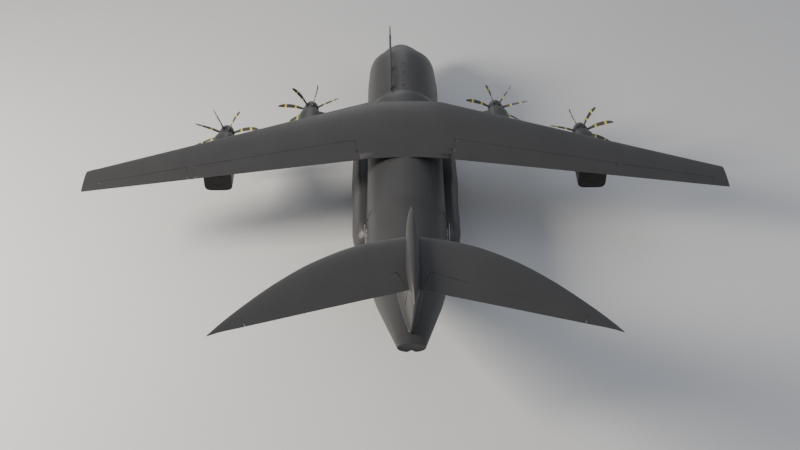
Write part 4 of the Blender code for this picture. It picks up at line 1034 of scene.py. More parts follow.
def make_fin_fillet():
    """A hollow fairing round the fin's foot, where it stands on the fuselage."""
    def meeting(t):
        """Height where the fin's skin meets the crown at a share of the fin's chord."""
        z = 6.5
        for _ in range(6):
            _, le, te, thick = table_at(FIN, min(z, 13))
            z = crown_at(blend(le, te, t), section_half(t, thick, te - le))
        return z

    build, rings = Build(), []
    shares = [0.0, 0.002, 0.008, 0.02, 0.04, 0.07, 0.11] + spread(0.16, 0.98, 30)
    path = [(t, 1) for t in reversed(shares)] + [(t, -1) for t in shares[1:]]
    for t, side in path:
        z = meeting(t)
        reach = 0.10 + 0.10 * (1 - t)
        nose = max(0.0, 1 - t / 0.04)
        ring = []
        for i in range(7):
            a = math.pi / 2 * i / 6
            out, up = reach * (1 - math.sin(a)), reach * (1 - math.cos(a))
            _, le, te, thick = table_at(FIN, z + up)
            half = section_half(t, thick, te - le)
            there, x = blend(le, te, t) - nose * out, half + out * (1 - nose) + 0.003
            ring.append(at(side * x, there, crown_at(there, x) + up + 0.003))
        ring.append(at(side * max(0.0, half - 0.04), there + 0.06, z - 0.05))
        rings.append(ring)
    build.rings(rings)
    build.piece("fin_fillet", "airframe", "fin", "grey_paint", 50)


def make_fairing_skirt():
    """Thin skirts that let the wing fairing's edges run out into the fuselage."""
    build = Build()
    rings = []
    for s, lift in ((25.12, 0.082), (25.19, 0.088), (25.30, 0.074), (25.45, 0.052), (25.62, 0.032),
                    (25.80, 0.017), (26.00, 0.007), (26.20, 0.0)):
        start = blend(22, 28, (s - 25.12) / 1.08)
        ring = []
        for k in range(61):
            share = k / 60
            ease = min(1.0, 8 * min(share, 1 - share))
            ring.append(skin_at(s, blend(start, 180 - start, share), lift * ease * (2 - ease))[0])
        ring += [skin_at(s, blend(180 - start, start, k / 20), -0.02)[0] for k in range(21)]
        rings.append(ring)
    build.rings(rings)
    build.piece("fairing_skirt", "airframe", "body", "grey_paint", 50)


def make_seals():
    """Strips that close the hinge gaps: above the flaps on the wing, and on the other surfaces' noses."""
    start, end, r0, r1, aft, up = hinge("flap")
    for label, side in SIDES:
        build, rings = Build(), []
        for t in spread(0.001, 0.999, 60):
            centre, r = start.lerp(end, t), blend(r0, r1, t)
            far = math.sqrt(0.016 * r + 0.00006) + 0.012
            near = max(0.003, math.sqrt(max(0, (0.98 * r + 0.0022) ** 2 - (r - 0.002) ** 2)))
            top, low = [], []
            for a in spread(near, far, 6):
                spot = centre - aft * a
                skin = wing_skin(spot.x / SCALE, spot.y / SCALE + LENGTH / 2)
                top.append(Vector((spot.x, spot.y, skin.z - 0.0006)))
                depth = math.sqrt(max(0.0, (0.98 * r + 0.0022) ** 2 - a * a))
                low.append(spot + up * min(r - 0.002, depth))
            rings.append([Vector((side * p.x, p.y, p.z)) for p in top + low[::-1]])
        build.rings(rings)
        build.piece("flap_seal_" + label, "airframe", "wing", "grey_paint", 30)
    for name, body, zone in (("aileron", "aileron", "wing"), ("elevator", "elevator", "tail"),
                             ("rudder", "rudder", "fin")):
        start, end, r0, r1, aft, up = hinge(name)
        for label, side in ((("", 1),) if name == "rudder" else (("_left", 1), ("_right", -1))):
            build = Build()
            for way in (1, -1):
                rings = []
                for t in spread(0.004, 0.996, 40):
                    centre, r = start.lerp(end, t), blend(r0, r1, t)
                    outer, inner = [], []
                    for degrees in spread(-3, 22, 7):
                        a = math.radians(degrees)
                        reach = min(r * (1 / math.cos(a) + math.tan(a) * 0.10) - 0.0004, 0.98 * r + 0.0046)
                        ray = -aft * math.sin(a) + up * (way * math.cos(a))
                        outer.append(centre + ray * reach)
                        inner.append(centre + ray * (0.94 * r))
                    rings.append([Vector((side * p.x, p.y, p.z)) for p in outer + inner[::-1]])
                build.rings(rings)
            build.piece(name + "_seal" + label, body + label, zone, "grey_paint", 30)


def make_end_lips():
    """Lips on the wing that nearly close the gaps at the ends of the flaps and ailerons."""
    for name, share in (("flap", FLAP[2]), ("aileron", AILERON[2])):
        start, end = hinge(name)[:2]
        axis = (end - start).normalized()
        for label, side in SIDES:
            build = Build()
            for place, out_first, way in ((start, start.x / SCALE, -1), (end, end.x / SCALE, 1)):
                rings = []
                for reach in (0.0025, 0.0095):
                    outline = [(k, 0.98) for k in spread(share + 0.045, 0.985, 14)]
                    outline += [(k, -0.98) for k, _ in reversed(outline)]
                    ring = []
                    for k, level in outline:
                        out = out_first
                        for _ in range(6):
                            station, middle, half = wing_middle(out, k)
                            spot = at(out, station, middle + half * level)
                            out -= ((spot - place).dot(axis) - way * reach) / (SCALE * axis.x)
                        ring.append(Vector((side * spot.x, spot.y, spot.z)))
                    rings.append(ring)
                build.rings(rings)
            build.piece(f"{name}_end_lips_{label}", "airframe", "wing", "grey_paint", 30)


# Propellers

# Share of the radius, chord, twist in degrees, how far the section lies back of the blade's line
BLADE_ROWS = ((0.14, 0.22, 94, 0.00), (0.28, 0.30, 90, -0.03), (0.50, 0.37, 83, -0.04),
              (0.72, 0.37, 77, 0.06), (0.88, 0.30, 74, 0.18), (0.97, 0.18, 72, 0.28),
              (1.00, 0.08, 71, 0.33))
BANDS = ((0.45, 0.51), (0.75, 0.81))


def smooth_row(share):
    """The blade's row at a share of the radius, on a smooth curve through the table."""
    rows = BLADE_ROWS
    k = max(i for i in range(len(rows) - 1) if rows[i][0] <= share + 1e-9)
    p = [rows[max(0, min(len(rows) - 1, k + d))] for d in (-1, 0, 1, 2)]
    t = (share - p[1][0]) / (p[2][0] - p[1][0])
    out = []
    for c in (1, 2, 3):
        m1 = (p[2][c] - p[0][c]) / max(1e-6, p[2][0] - p[0][0]) * (p[2][0] - p[1][0])
        m2 = (p[3][c] - p[1][c]) / max(1e-6, p[3][0] - p[1][0]) * (p[2][0] - p[1][0])
        h = (2 * t ** 3 - 3 * t ** 2 + 1, t ** 3 - 2 * t ** 2 + t, -2 * t ** 3 + 3 * t ** 2,
             t ** 3 - t ** 2)
        out.append(h[0] * p[1][c] + h[1] * m1 + h[2] * p[2][c] + h[3] * m2)
    return out


def make_propeller(name, phase, sense):
    build = Build()
    rear = NACELLE_FRONT - NACELLE_GAP
    profile = [(-0.98, 0.004), (-0.975, 0.06), (-0.955, 0.12), (-0.92, 0.18), (-0.87, 0.26), (-0.80, 0.33),
               (-0.70, 0.40), (-0.58, 0.455), (-0.44, 0.50), (-0.28, 0.532), (-0.12, 0.55), (0.30, 0.55),
               (rear - 0.01, 0.548), (rear, 0.535)]
    build.turned(Vector((0, 0, 0)), AFT, profile, 48, 0)
    shares = (0.14, 0.17, 0.20, 0.24, 0.28, 0.33, 0.39, 0.45, 0.48, 0.51, 0.57, 0.63, 0.69, 0.75, 0.78,
              0.81, 0.85, 0.89, 0.92, 0.95, 0.97, 0.985, 1.0)
    sections = [(share, *smooth_row(share)) for share in shares]
    for k in range(BLADES):
        angle = math.pi - math.radians(phase + 360 / BLADES * k)
        radial = Vector((math.cos(angle), 0, math.sin(angle)))
        turning = Vector((-math.sin(angle), 0, math.cos(angle))) * sense
        rows = []
        for share, chord, twist, back in sections:
            a = math.radians(twist)
            along = turning * math.cos(a) + Vector((0, -1, 0)) * math.sin(a)
            across = turning * -math.sin(a) + Vector((0, -1, 0)) * math.cos(a)
            centre = radial * (share * PROP_RADIUS) - along * back
            thick = blend(0.45, 0.20, min(1, max(0, (share - 0.14) / 0.20))) * chord
            ring = []
            for u, v in ((0.5, 0), (0.44, 0.20), (0.30, 0.38), (0.05, 0.5), (-0.2, 0.42), (-0.4, 0.16),
                         (-0.5, 0), (-0.4, -0.16), (-0.2, -0.42), (0.05, -0.5), (0.30, -0.38),
                         (0.44, -0.20)):
                ring.append((centre + along * (chord * u) + across * (thick * v)) * SCALE)
            rows.append(ring)
        build.rings(rows, 1)
        count = len(rows[0])
        faces = list(build.bm.faces)[-(count * (len(rows) - 1) + 2):]
        for r in range(len(rows) - 1):
            middle = (sections[r][0] + sections[r + 1][0]) / 2
            for i in range(count):
                face = faces[r * count + i]
                if any(low < middle < high for low, high in BANDS):
                    face.material_index = 2
                elif i in (0, 11) and middle > 0.45:
                    face.material_index = 3
        # the round root that the blade turns in
        build.turned(radial * (0.40 * SCALE), radial,
                     [(0, 0.16), (0.10, 0.16), (0.13, 0.13), (0.20, 0.10)], 20, 0)
        # a near-black collar round the root, on the spinner's surface: painted shade of the gap round the
        # root
        rings = []
        for reach, lift in ((0.168, -0.010), (0.166, 0.004), (0.132, 0.006), (0.128, -0.012)):
            ring = []
            for i in range(28):
                a = 2 * math.pi * i / 28
                across, aft = reach * math.sin(a), reach * math.cos(a)
                surface = curve([p[0] for p in profile], [p[1] for p in profile], np.array([aft]))[0]
                out = math.sqrt(max(0.0, surface ** 2 - across ** 2)) + lift
                ring.append((radial * out + turning * across + Vector((0, aft, 0))) * SCALE)
            rings.append(ring)
        build.rings(rings, 4, caps=False)
    return build.mesh(name)


def make_propellers():
    for place, out, station, height, port_phase, starboard_phase, sense in ENGINES:
        for label, side, phase in (("left", 1, port_phase), ("right", -1, starboard_phase)):
            node = f"propeller_{place}_{label}"
            mesh = make_propeller(node + "_blades", phase, sense)
            obj = piece(node + "_blades", mesh, node, ["spinner", "blade", "band", "erosion", "dark"],
                        35, at(side * out, station, height))
            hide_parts(node)


# Wheels

def wheel_side(build, sign, wheel, sides):
    """One tyre and rim on the side that sign says. Sizes are full size."""
    radius, out, half = wheel
    rim = 0.56 * radius
    groove = 0.014
    tread = []
    edge = 0.62 * half
    count = 4
    for g in range(count):
        a = -edge + 2 * edge * (g + 0.5) / count
        drop = 0.010 * (a / edge) ** 2
        tread += [(a - 0.020, radius - drop), (a - 0.012, radius - drop - groove),
                  (a + 0.012, radius - drop - groove), (a + 0.020, radius - drop)]
    tyre = [(-half * 0.86, rim * 0.99), (-half * 0.95, rim * 1.06), (-half, 0.78 * radius),
            (-half * 0.97, 0.86 * radius), (-half * 0.86, 0.94 * radius), (-edge * 1.05, 0.990 * radius)]
    profile = tyre + tread + [(-a, r) for a, r in reversed(tyre)]
    start = Vector((sign * out * SCALE, 0, 0))
    build.turned(start, (sign, 0, 0), profile, sides, 0, hollow=True)
    # rim: flange, dished disc and hub cap
    disc = [(half * 0.90, rim * 1.00), (half * 0.96, rim * 0.985), (half * 0.92, rim * 0.93),
            (half * 0.62, rim * 0.86), (half * 0.42, rim * 0.70), (half * 0.46, rim * 0.46),
            (half * 0.62, rim * 0.40), (half * 0.66, rim * 0.24), (half * 0.60, 0.01)]
    back = [(-half * 0.90, 0.01), (-half * 0.90, rim * 1.0)]
    build.turned(start, (sign, 0, 0), back + disc, 40, 1)
    for k in range(10):
        a = 2 * math.pi * k / 10
        spot = start + Vector((sign * half * 0.40 * SCALE, rim * 0.58 * math.cos(a) * SCALE,
                               rim * 0.58 * math.sin(a) * SCALE))
        build.rod(spot, spot + Vector((sign * 0.03 * SCALE, 0, 0)), 0.020, 6, 2)
    # five near-black studs on the dished disc: painted shade where the disc's holes would be
    for k in range(5):
        a = 2 * math.pi * (k + 0.5) / 5
        spot = start + Vector((sign * half * 0.55 * SCALE, rim * 0.78 * math.cos(a) * SCALE,
                               rim * 0.78 * math.sin(a) * SCALE))
        build.rod(spot, spot + Vector((sign * 0.035 * SCALE, 0, 0)), 0.035, 10, 3)


def make_wheels():
    def twin(node, centre, wheel):
        build = Build()
        for sign in (1, -1):
            wheel_side(build, sign, wheel, 72)
        reach = wheel[1] - wheel[2] * 0.8
        build.rod((-reach * SCALE, 0, 0), (reach * SCALE, 0, 0), AXLE_RADIUS * 0.99, 24, 2)
        for sign in (1, -1):
            # brake housing on the wheel's inner face
            start = Vector((sign * (wheel[1] - wheel[2] * 0.92) * SCALE, 0, 0))
            build.turned(start, (sign, 0, 0), [(0, 0.5 * wheel[0]), (0.05, 0.5 * wheel[0])], 32, 2)
        obj = piece(node + "_tyres", build.mesh(node), node, ["tyre", "rim", "steel", "dark"],
                    38, centre)
        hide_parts(node)

    height = MAIN_WHEEL[0] * math.cos(math.pi / WHEEL_SIDES)
    for label, side in SIDES:
        for number, station in enumerate(MAIN_WHEEL_STATIONS, 1):
            twin(f"main_wheels_{label}_{number}", at(side * MAIN_WHEEL_OUT, station, height),
                 (height, MAIN_WHEEL[1], MAIN_WHEEL[2]))
    height = NOSE_WHEEL[0] * math.cos(math.pi / WHEEL_SIDES)
    twin("nose_wheels", at(0, NOSE_WHEEL_STATION, height), (height, NOSE_WHEEL[1], NOSE_WHEEL[2]))


# Fittings

def trim(build, points, normals, width, height, closed=True, index=0, sink=0.010):
    """A raised strip along a line on a surface. Points are in the frame, sizes are full size."""
    count, rings = len(points), []
    for i, (p, n) in enumerate(zip(points, normals)):
        a = points[i - 1] if (i or closed) else p
        b = points[(i + 1) % count] if (i < count - 1 or closed) else p
        side = n.cross((b - a).normalized()).normalized() * (width / 2 * SCALE)
        low, high = p - n * (sink * SCALE), p + n * (height * SCALE)
        rings.append([low - side, low + side, high + side * 0.8, high - side * 0.8])
    if closed:
        rings.append(rings[0])
    build.rings(rings, index, caps=not closed)


def densely(outline, step=0.12, closed=True):
    """An outline with more points along its edges."""
    out = []
    pairs = list(zip(outline, outline[1:] + outline[:1] if closed else outline[1:]))
    for a, b in pairs:
        n = max(1, int(math.dist(a, b) / step))
        out += [tuple(blend(u, v, i / n) for u, v in zip(a, b)) for i in range(n)]
    return out if closed else out + [outline[-1]]


def rounded(outline, radius, parts=4):
    """An outline with its corners cut round."""
    out, count = [], len(outline)
    for i, p in enumerate(outline):
        a, b = Vector(outline[i - 1]), Vector(outline[(i + 1) % count])
        p = Vector(p)
        start, end = p + (a - p).normalized() * radius, p + (b - p).normalized() * radius
        for k in range(parts + 1):
            t = k / parts
            out.append(tuple(start * (1 - t) ** 2 + p * (2 * t * (1 - t)) + end * t ** 2))
    return out


def on_side(outline, side=1, lift=0.0):
    """Points and normals on the fuselage's side for (station, height) rows."""
    pairs = [skin_point(s, z, side, lift) for s, z in outline]
    return [p for p, _ in pairs], [n for _, n in pairs]


def on_top(outline, lift=0.0):
    """Points and normals on the fuselage for (station, distance out) rows seen from above."""
    pairs = []
    for s, x in outline:
        width = body_sizes(s)[0]
        pairs.append(skin_at(s, math.degrees(math.acos(max(-1, min(1, x / width)))), lift))
    return [p for p, _ in pairs], [n for _, n in pairs]


def side_frame(build, side, stations, heights, corner, width, height, index=0, step=0.12):
    """A raised frame on the fuselage's side between two stations and two heights."""
    (s0, s1), (z0, z1) = stations, heights
    outline = rounded(((s0, z0), (s1, z0), (s1, z1), (s0, z1)), corner)
    trim(build, *on_side(densely(outline, step), side), width, height, index=index)


def inner_strip(build, rows, width, height, index, sink):
    """A strip that stands inward from the fuselage's inner face."""
    trim(build, [p for p, _ in rows], [-n for _, n in rows], width, height, closed=False, index=index,
         sink=sink)


def disc(build, point, normal, radius, height, sides=24, index=0, sink=0.02):
    start = point - normal * (sink * SCALE)
    build.turned(start, normal, [(0, radius), (sink + height * 0.7, radius),
                                 (sink + height, radius * 0.86)], sides, index)


def window(build, station, height, side, radius=0.17):
    """A round window: a raised ring and the dark pane inside it. Material 0 is paint, 1 glass."""
    point, normal = skin_point(station, height, side)
    disc(build, point, normal, radius, 0.014, 36, 0)
    start = point + normal * (0.013 * SCALE)
    build.turned(start, normal, [(0, radius * 0.74), (0.004, radius * 0.74)], 36, 1)


def blade(build, point, normal, height, chord, index=0, sweep=0.35, thick=0.16):
    """A swept blade, such as an antenna or a drain mast, on a foot."""
    rings = []
    for t in (0.0, 0.25, 0.6, 0.9, 1.0):
        size = blend(1, 0.55, t) * (0.75 if t == 1.0 else 1)
        centre = point + normal * ((height * t - 0.02) * SCALE) + Vector((0, sweep * height * t * SCALE, 0))
        across = normal.cross(AFT).normalized()
        rings.append([centre + across * (u * thick * SCALE) + Vector((0, v * SCALE, 0))
                      for u, v in oval(chord * size, chord * size, 16)])
    build.rings(rings, index)


def wick(build, point, aft=0.20, index=0):
    """A static discharger on a trailing edge."""
    build.rod(point - Vector((0, 0.03, 0)), point + Vector((0, aft * SCALE, 0)), 0.006, 6, index, 0.5)


def cushion(build, centre, size, index=0, tilt=0.0):
    """A padded block with full round edges. The tilt leans it aft, in degrees."""
    turn = Matrix.Rotation(math.radians(-tilt), 3, "X")
    rings = []
    for i in range(9):
        v = -math.cos(math.pi * i / 8)
        full = (1 - abs(v) ** 4) ** 0.25 if abs(v) < 1 else 0.06
        ring = []
        for x, y in oval(size[0], size[1], 28, 0.35):
            spot = Vector((x * max(0.3, full), y * max(0.3, full), v * size[2] / 2))
            ring.append(Vector(centre) + turn @ spot * SCALE)
        rings.append(ring)
    build.rings(rings, index)


def finish_tail_cone(bm):
    """Sinks the tail's flat end a little behind a rim, with a notch in its lower edge."""
    last = max(v.co.y for v in bm.verts)
    ends = [f for f in bm.faces if all(v.co.y > last - 1e-4 for v in f.verts)]
    bmesh.ops.inset_region(bm, faces=ends, thickness=0.05 * SCALE, use_even_offset=True)
    for v in {v for f in ends for v in f.verts}:
        v.co.y -= 0.05 * SCALE
    for v in bm.verts:
        x, aft = v.co.x / SCALE, (v.co.y - last) / SCALE
        if v.co.z < 6.0 * SCALE and aft > -0.7:
            v.co.z += 0.15 * SCALE * math.exp(-(x / 0.15) ** 2) * (1 + aft / 0.7) ** 2


def make_nose_fittings():
    build = Build()
    for view, outline in PANES:
        for side in (1, -1):
            rows = densely(rounded(outline, 0.07))
            if view == "above":
                points, normals = on_top([(s, side * x) for x, s in rows])
            else:
                points, normals = on_side(rows, side)
            trim(build, points, normals, 0.050, 0.010, index=1)
    for k in range(8):
        rows = [skin_at(s, 22.5 + 45 * k) for s in spread(0.16, 1.04, 14)]
        trim(build, [p for p, _ in rows], [n for _, n in rows], 0.014, 0.007, closed=False, index=2)
    for side in (1, -1):
        for station, angle, long in ((1.75, 14, 0.22), (1.95, -6, 0.22), (2.55, -22, 0.16)):
            point, normal = skin_at(station, angle if side == 1 else 180 - angle)
            knee = point + normal * (0.11 * SCALE)
            build.rod(point - normal * 0.02, knee, 0.022, 12, 3, 0.7)
            build.rod(knee + Vector((0, 0.03 * SCALE, 0)), knee - Vector((0, long * SCALE, 0)), 0.014, 12,
                      3, 0.6)
            disc(build, point, normal, 0.055, 0.006, 20, 3)
        point, normal = skin_at(2.95, -2 if side == 1 else 182)
        disc(build, point, normal, 0.07, 0.008, 24, 3)
        blade(build, point, normal, 0.12, 0.08, 3, 0.5, 0.25)
        # wiper: an arm and its blade along the lower edge of the front pane
        rows = on_top([(3.02 + 0.05 * t, side * blend(0.30, 0.78, t)) for t in spread(0, 1, 8)], 0.03)
        trim(build, *rows, 0.022, 0.020, closed=False, index=1)
        pivot = skin_at(2.92, 90 - side * 9)
        build.rod(pivot[0] - pivot[1] * 0.01, rows[0][4], 0.012, 8, 1)
        disc(build, *pivot, 0.035, 0.03, 16, 1)
        # static port plates and the frames of two service doors
        for station, height in ((5.9, 3.2), (6.2, 3.2)):
            disc(build, *skin_point(station, height, side), 0.06, 0.004, 24, 3)
        side_frame(build, side, (6.0, 6.55), (2.05, 2.50), 0.05, 0.016, 0.004)
        side_frame(build, side, (2.0, 2.5), (2.35, 2.75), 0.05, 0.014, 0.004)
    build.piece("nose_fittings", "airframe", ["body", "rubber", "trim", "steel"], "grey_paint")


def make_body_fittings():
    """Windows, hatches, door frames, antennas, beacons, drains and side lights of the fuselage."""
    build = Build()
    for side in (1, -1):
        for station, height in ((9.35, 4.30), (11.30, 4.30), (25.10, 4.62)):
            window(build, station, height, side)
        # the light frame round a paratroop door
        (s0, s1), (z0, z1) = PARA_DOOR
        edge = 0.045
        side_frame(build, side, (s0 - edge, s1 + edge), (z0 - edge, z1 + edge), 0.10, 0.050, 0.022, 2)
        # a thin bar stands off the skin above the door, with a hook at its front and short brackets
        bar = [(25.28, 4.34, 0.02), (25.42, 4.44, 0.13)]
        bar += [(s, 4.56 + 0.14 * (s - 25.6) / 2.7, 0.17) for s in spread(25.60, 28.26, 15)]
        bar.append((28.36, 4.72, 0.02))
        line = [skin_point(s, z, side, lift)[0] for s, z, lift in bar]
        for a, b in zip(line, line[1:]):
            build.bar(a, b, 0.050, 0.040, index=2)
        for s, z, lift in bar[3:-1:3]:
            build.rod(skin_point(s, z - 0.10, side, -0.02)[0], skin_point(s, z, side, lift)[0], 0.020, 8, 0)
        # the crew door's frame to port and a hatch's frame opposite, both open at the bottom
        (s0, s1), (z0, z1) = CREW_DOOR
        outline = ((s0 - 0.06, z0 + 0.15), (s0 - 0.06, z1 - 0.06), (s0 - 0.02, z1 + 0.02),
                   (s0 + 0.06, z1 + 0.06), (s1 - 0.06, z1 + 0.06), (s1 + 0.02, z1 + 0.02),
                   (s1 + 0.06, z1 - 0.06), (s1 + 0.06, z0 + 0.15))
        trim(build, *on_side(densely(outline, closed=False), side), 0.040, 0.008, closed=False, index=0)
        # fuel and service panels low on the side
        for s, z, wide, tall in ((9.6, 2.0, 0.5, 0.35), (11.0, 2.0, 0.4, 0.3), (28.6, 3.4, 0.5, 0.4),
                                 (30.2, 3.9, 0.4, 0.4)):
            side_frame(build, side, (s, s + wide), (z, z + tall), 0.05, 0.014, 0.004)
            disc(build, *skin_point(s + wide / 2, z + tall - 0.06, side), 0.022, 0.004, 12, 3)
        # side light of the rear body
        disc(build, *skin_point(33.6, 5.2, side), 0.06, 0.02, 20, 3)
    for s0, s1, half in ((10.30, 11.00, 0.36), (26.30, 27.00, 0.36), (8.05, 8.55, 0.26)):
        outline = rounded(((s0, -half), (s1, -half), (s1, half), (s0, half)), 0.09)
        trim(build, *on_top(densely(outline)), 0.016, 0.004)
        build.block(skin_at(s1 - 0.10, 90)[0], (0.12, 0.04, 0.02), 0)
    for station, height, chord in ((9.75, 0.16, 0.22), (28.1, 0.20, 0.26), (29.3, 0.16, 0.22)):
        blade(build, *skin_at(station, 90), height, chord)
    for station in (11.55, 29.9):
        point, normal = skin_at(station, 90)
        disc(build, point, normal, 0.075, 0.02, 24, 0)
        disc(build, point + normal * (0.015 * SCALE), normal, 0.040, 0.050, 24, 0)
    for station, height, chord in ((8.4, 0.30, 0.32), (10.2, 0.22, 0.26), (24.9, 0.26, 0.30)):
        blade(build, *skin_at(station, 270), height, chord)
    for station, angle in ((11.3, 262), (25.6, 282), (6.9, 255)):
        blade(build, *skin_at(station, angle), 0.20, 0.12, 3, 0.6, 0.3)
    point, normal = skin_at(9.3, 270)
    disc(build, point, normal, 0.055, 0.085, 24, 4)
    # a low oval dome on the roof's rear
    point = skin_at(30.9, 90)[0]
    rings = [[point + Vector((u * f * SCALE, v * f * SCALE, h * SCALE)) for u, v in oval(0.34, 0.62, 28)]
             for f, h in ((1.0, -0.03), (0.97, 0.02), (0.86, 0.055), (0.62, 0.08), (0.30, 0.092),
                          (0.05, 0.095))]
    build.rings(rings, 0)
    build.piece("body_fittings", "airframe", ["body", "glass", "trim", "steel", "red_lens"], "grey_paint")


def make_door_fittings():
    """Windows and handles outside, steps, rails and ribs inside, each with its door."""
    (s0, s1), (z0, z1) = CREW_DOOR
    build = Build()
    window(build, (s0 + s1) / 2, 3.78, 1, 0.13)
    side_frame(build, 1, (8.06, 8.28), (3.24, 3.32), 0.02, 0.012, 0.005, step=0.05)
    build.bar(skin_point(8.08, 3.28, 1, 0.012)[0], skin_point(8.26, 3.28, 1, 0.012)[0], 0.022, 0.016,
              index=2)
    for z in spread(2.66, 3.96, 6):
        a, b = skin_point(s0 + 0.12, z, 1, -0.24)[0], skin_point(s1 - 0.12, z, 1, -0.24)[0]
        build.bar(a, b, 0.22, 0.030, UP, 3)
    heights = spread(2.60, 4.02, 9)
    for s in (s0 + 0.10, s1 - 0.10):
        rail = [skin_point(s, z, 1, -0.30)[0] for z in heights]
        build.pipe(rail, 0.016, 10, 2)
        for k in (0, 4, 8):
            build.rod(rail[k], skin_point(s, heights[k], 1, -0.10)[0], 0.014, 10, 2)
    build.piece("crew_door_fittings", "crew_door", ["body", "glass", "steel", "deck"], "grey_paint")

    build = Build()
    (s0, s1), (z0, z1) = PARA_DOOR
    for side in (1, -1):
        window(build, (s0 + s1) / 2, 3.92, side, 0.15)
        build.bar(skin_point(s1 - 0.30, 3.20, side, 0.012)[0], skin_point(s1 - 0.12, 3.20, side, 0.012)[0],
                  0.022, 0.016, index=2)
        for z in spread(z0 + 0.25, z1 - 0.35, 4):
            build.bar(skin_point(s0 + 0.08, z, side, -0.17)[0], skin_point(s1 - 0.08, z, side, -0.17)[0],
                      0.05, 0.05, index=3)
    build.piece("paratroop_door_fittings", "airframe", ["body", "glass", "steel", "lining"], "grey_paint")

    # the ramp: rails, rollers and lashing points that go on from the floor
    build = Build()
    hs, slope = RAMP_HINGE[0], (RAMP_SILL - FLOOR_TOP) / (RAMP_END - RAMP_HINGE[0])

    def deck(x, s, up=0.0):
        return at(x, s, FLOOR_TOP + (s - hs) * slope + up)
    for x in (-1.30, -0.62, 0.62, 1.30):
        build.bar(deck(x, hs + 0.35, 0.012), deck(x, RAMP_END - 0.75, 0.012), 0.11, 0.05, index=0)
    for s in spread(hs + 0.45, RAMP_END - 0.85, 14):
        for x in (-0.96, 0.0, 0.96):
            build.rod(deck(x - 0.20, s, 0.020), deck(x + 0.20, s, 0.020), 0.026, 10, 1)
        for x in (-1.12, 1.12):
            build.turned(deck(x, s, -0.01), UP, LASHING, 14, 1)
    build.piece("ramp_fittings", "cargo_ramp", ["trim", "steel"], "deck_metal")

    # ribs inside the cargo door
    build = Build()
    for s in spread(32.7, 34.4, 5):
        half = table_at(((32.2, 1.50), (34.97, 0.80)), s)[1] - 0.16
        rows = []
        for x in spread(-half, half, 13):
            width, belly, _, widest = body_sizes(s)
            z = widest - (widest - belly) * math.sqrt(max(0, 1 - (x / width) ** 2))
            rows.append(at(x, s, z + 0.17))
        for a, b in zip(rows, rows[1:]):
            build.bar(a, b, 0.05, 0.06, index=0)
    build.piece("cargo_door_ribs", "cargo_door", "lining", "grey_paint")


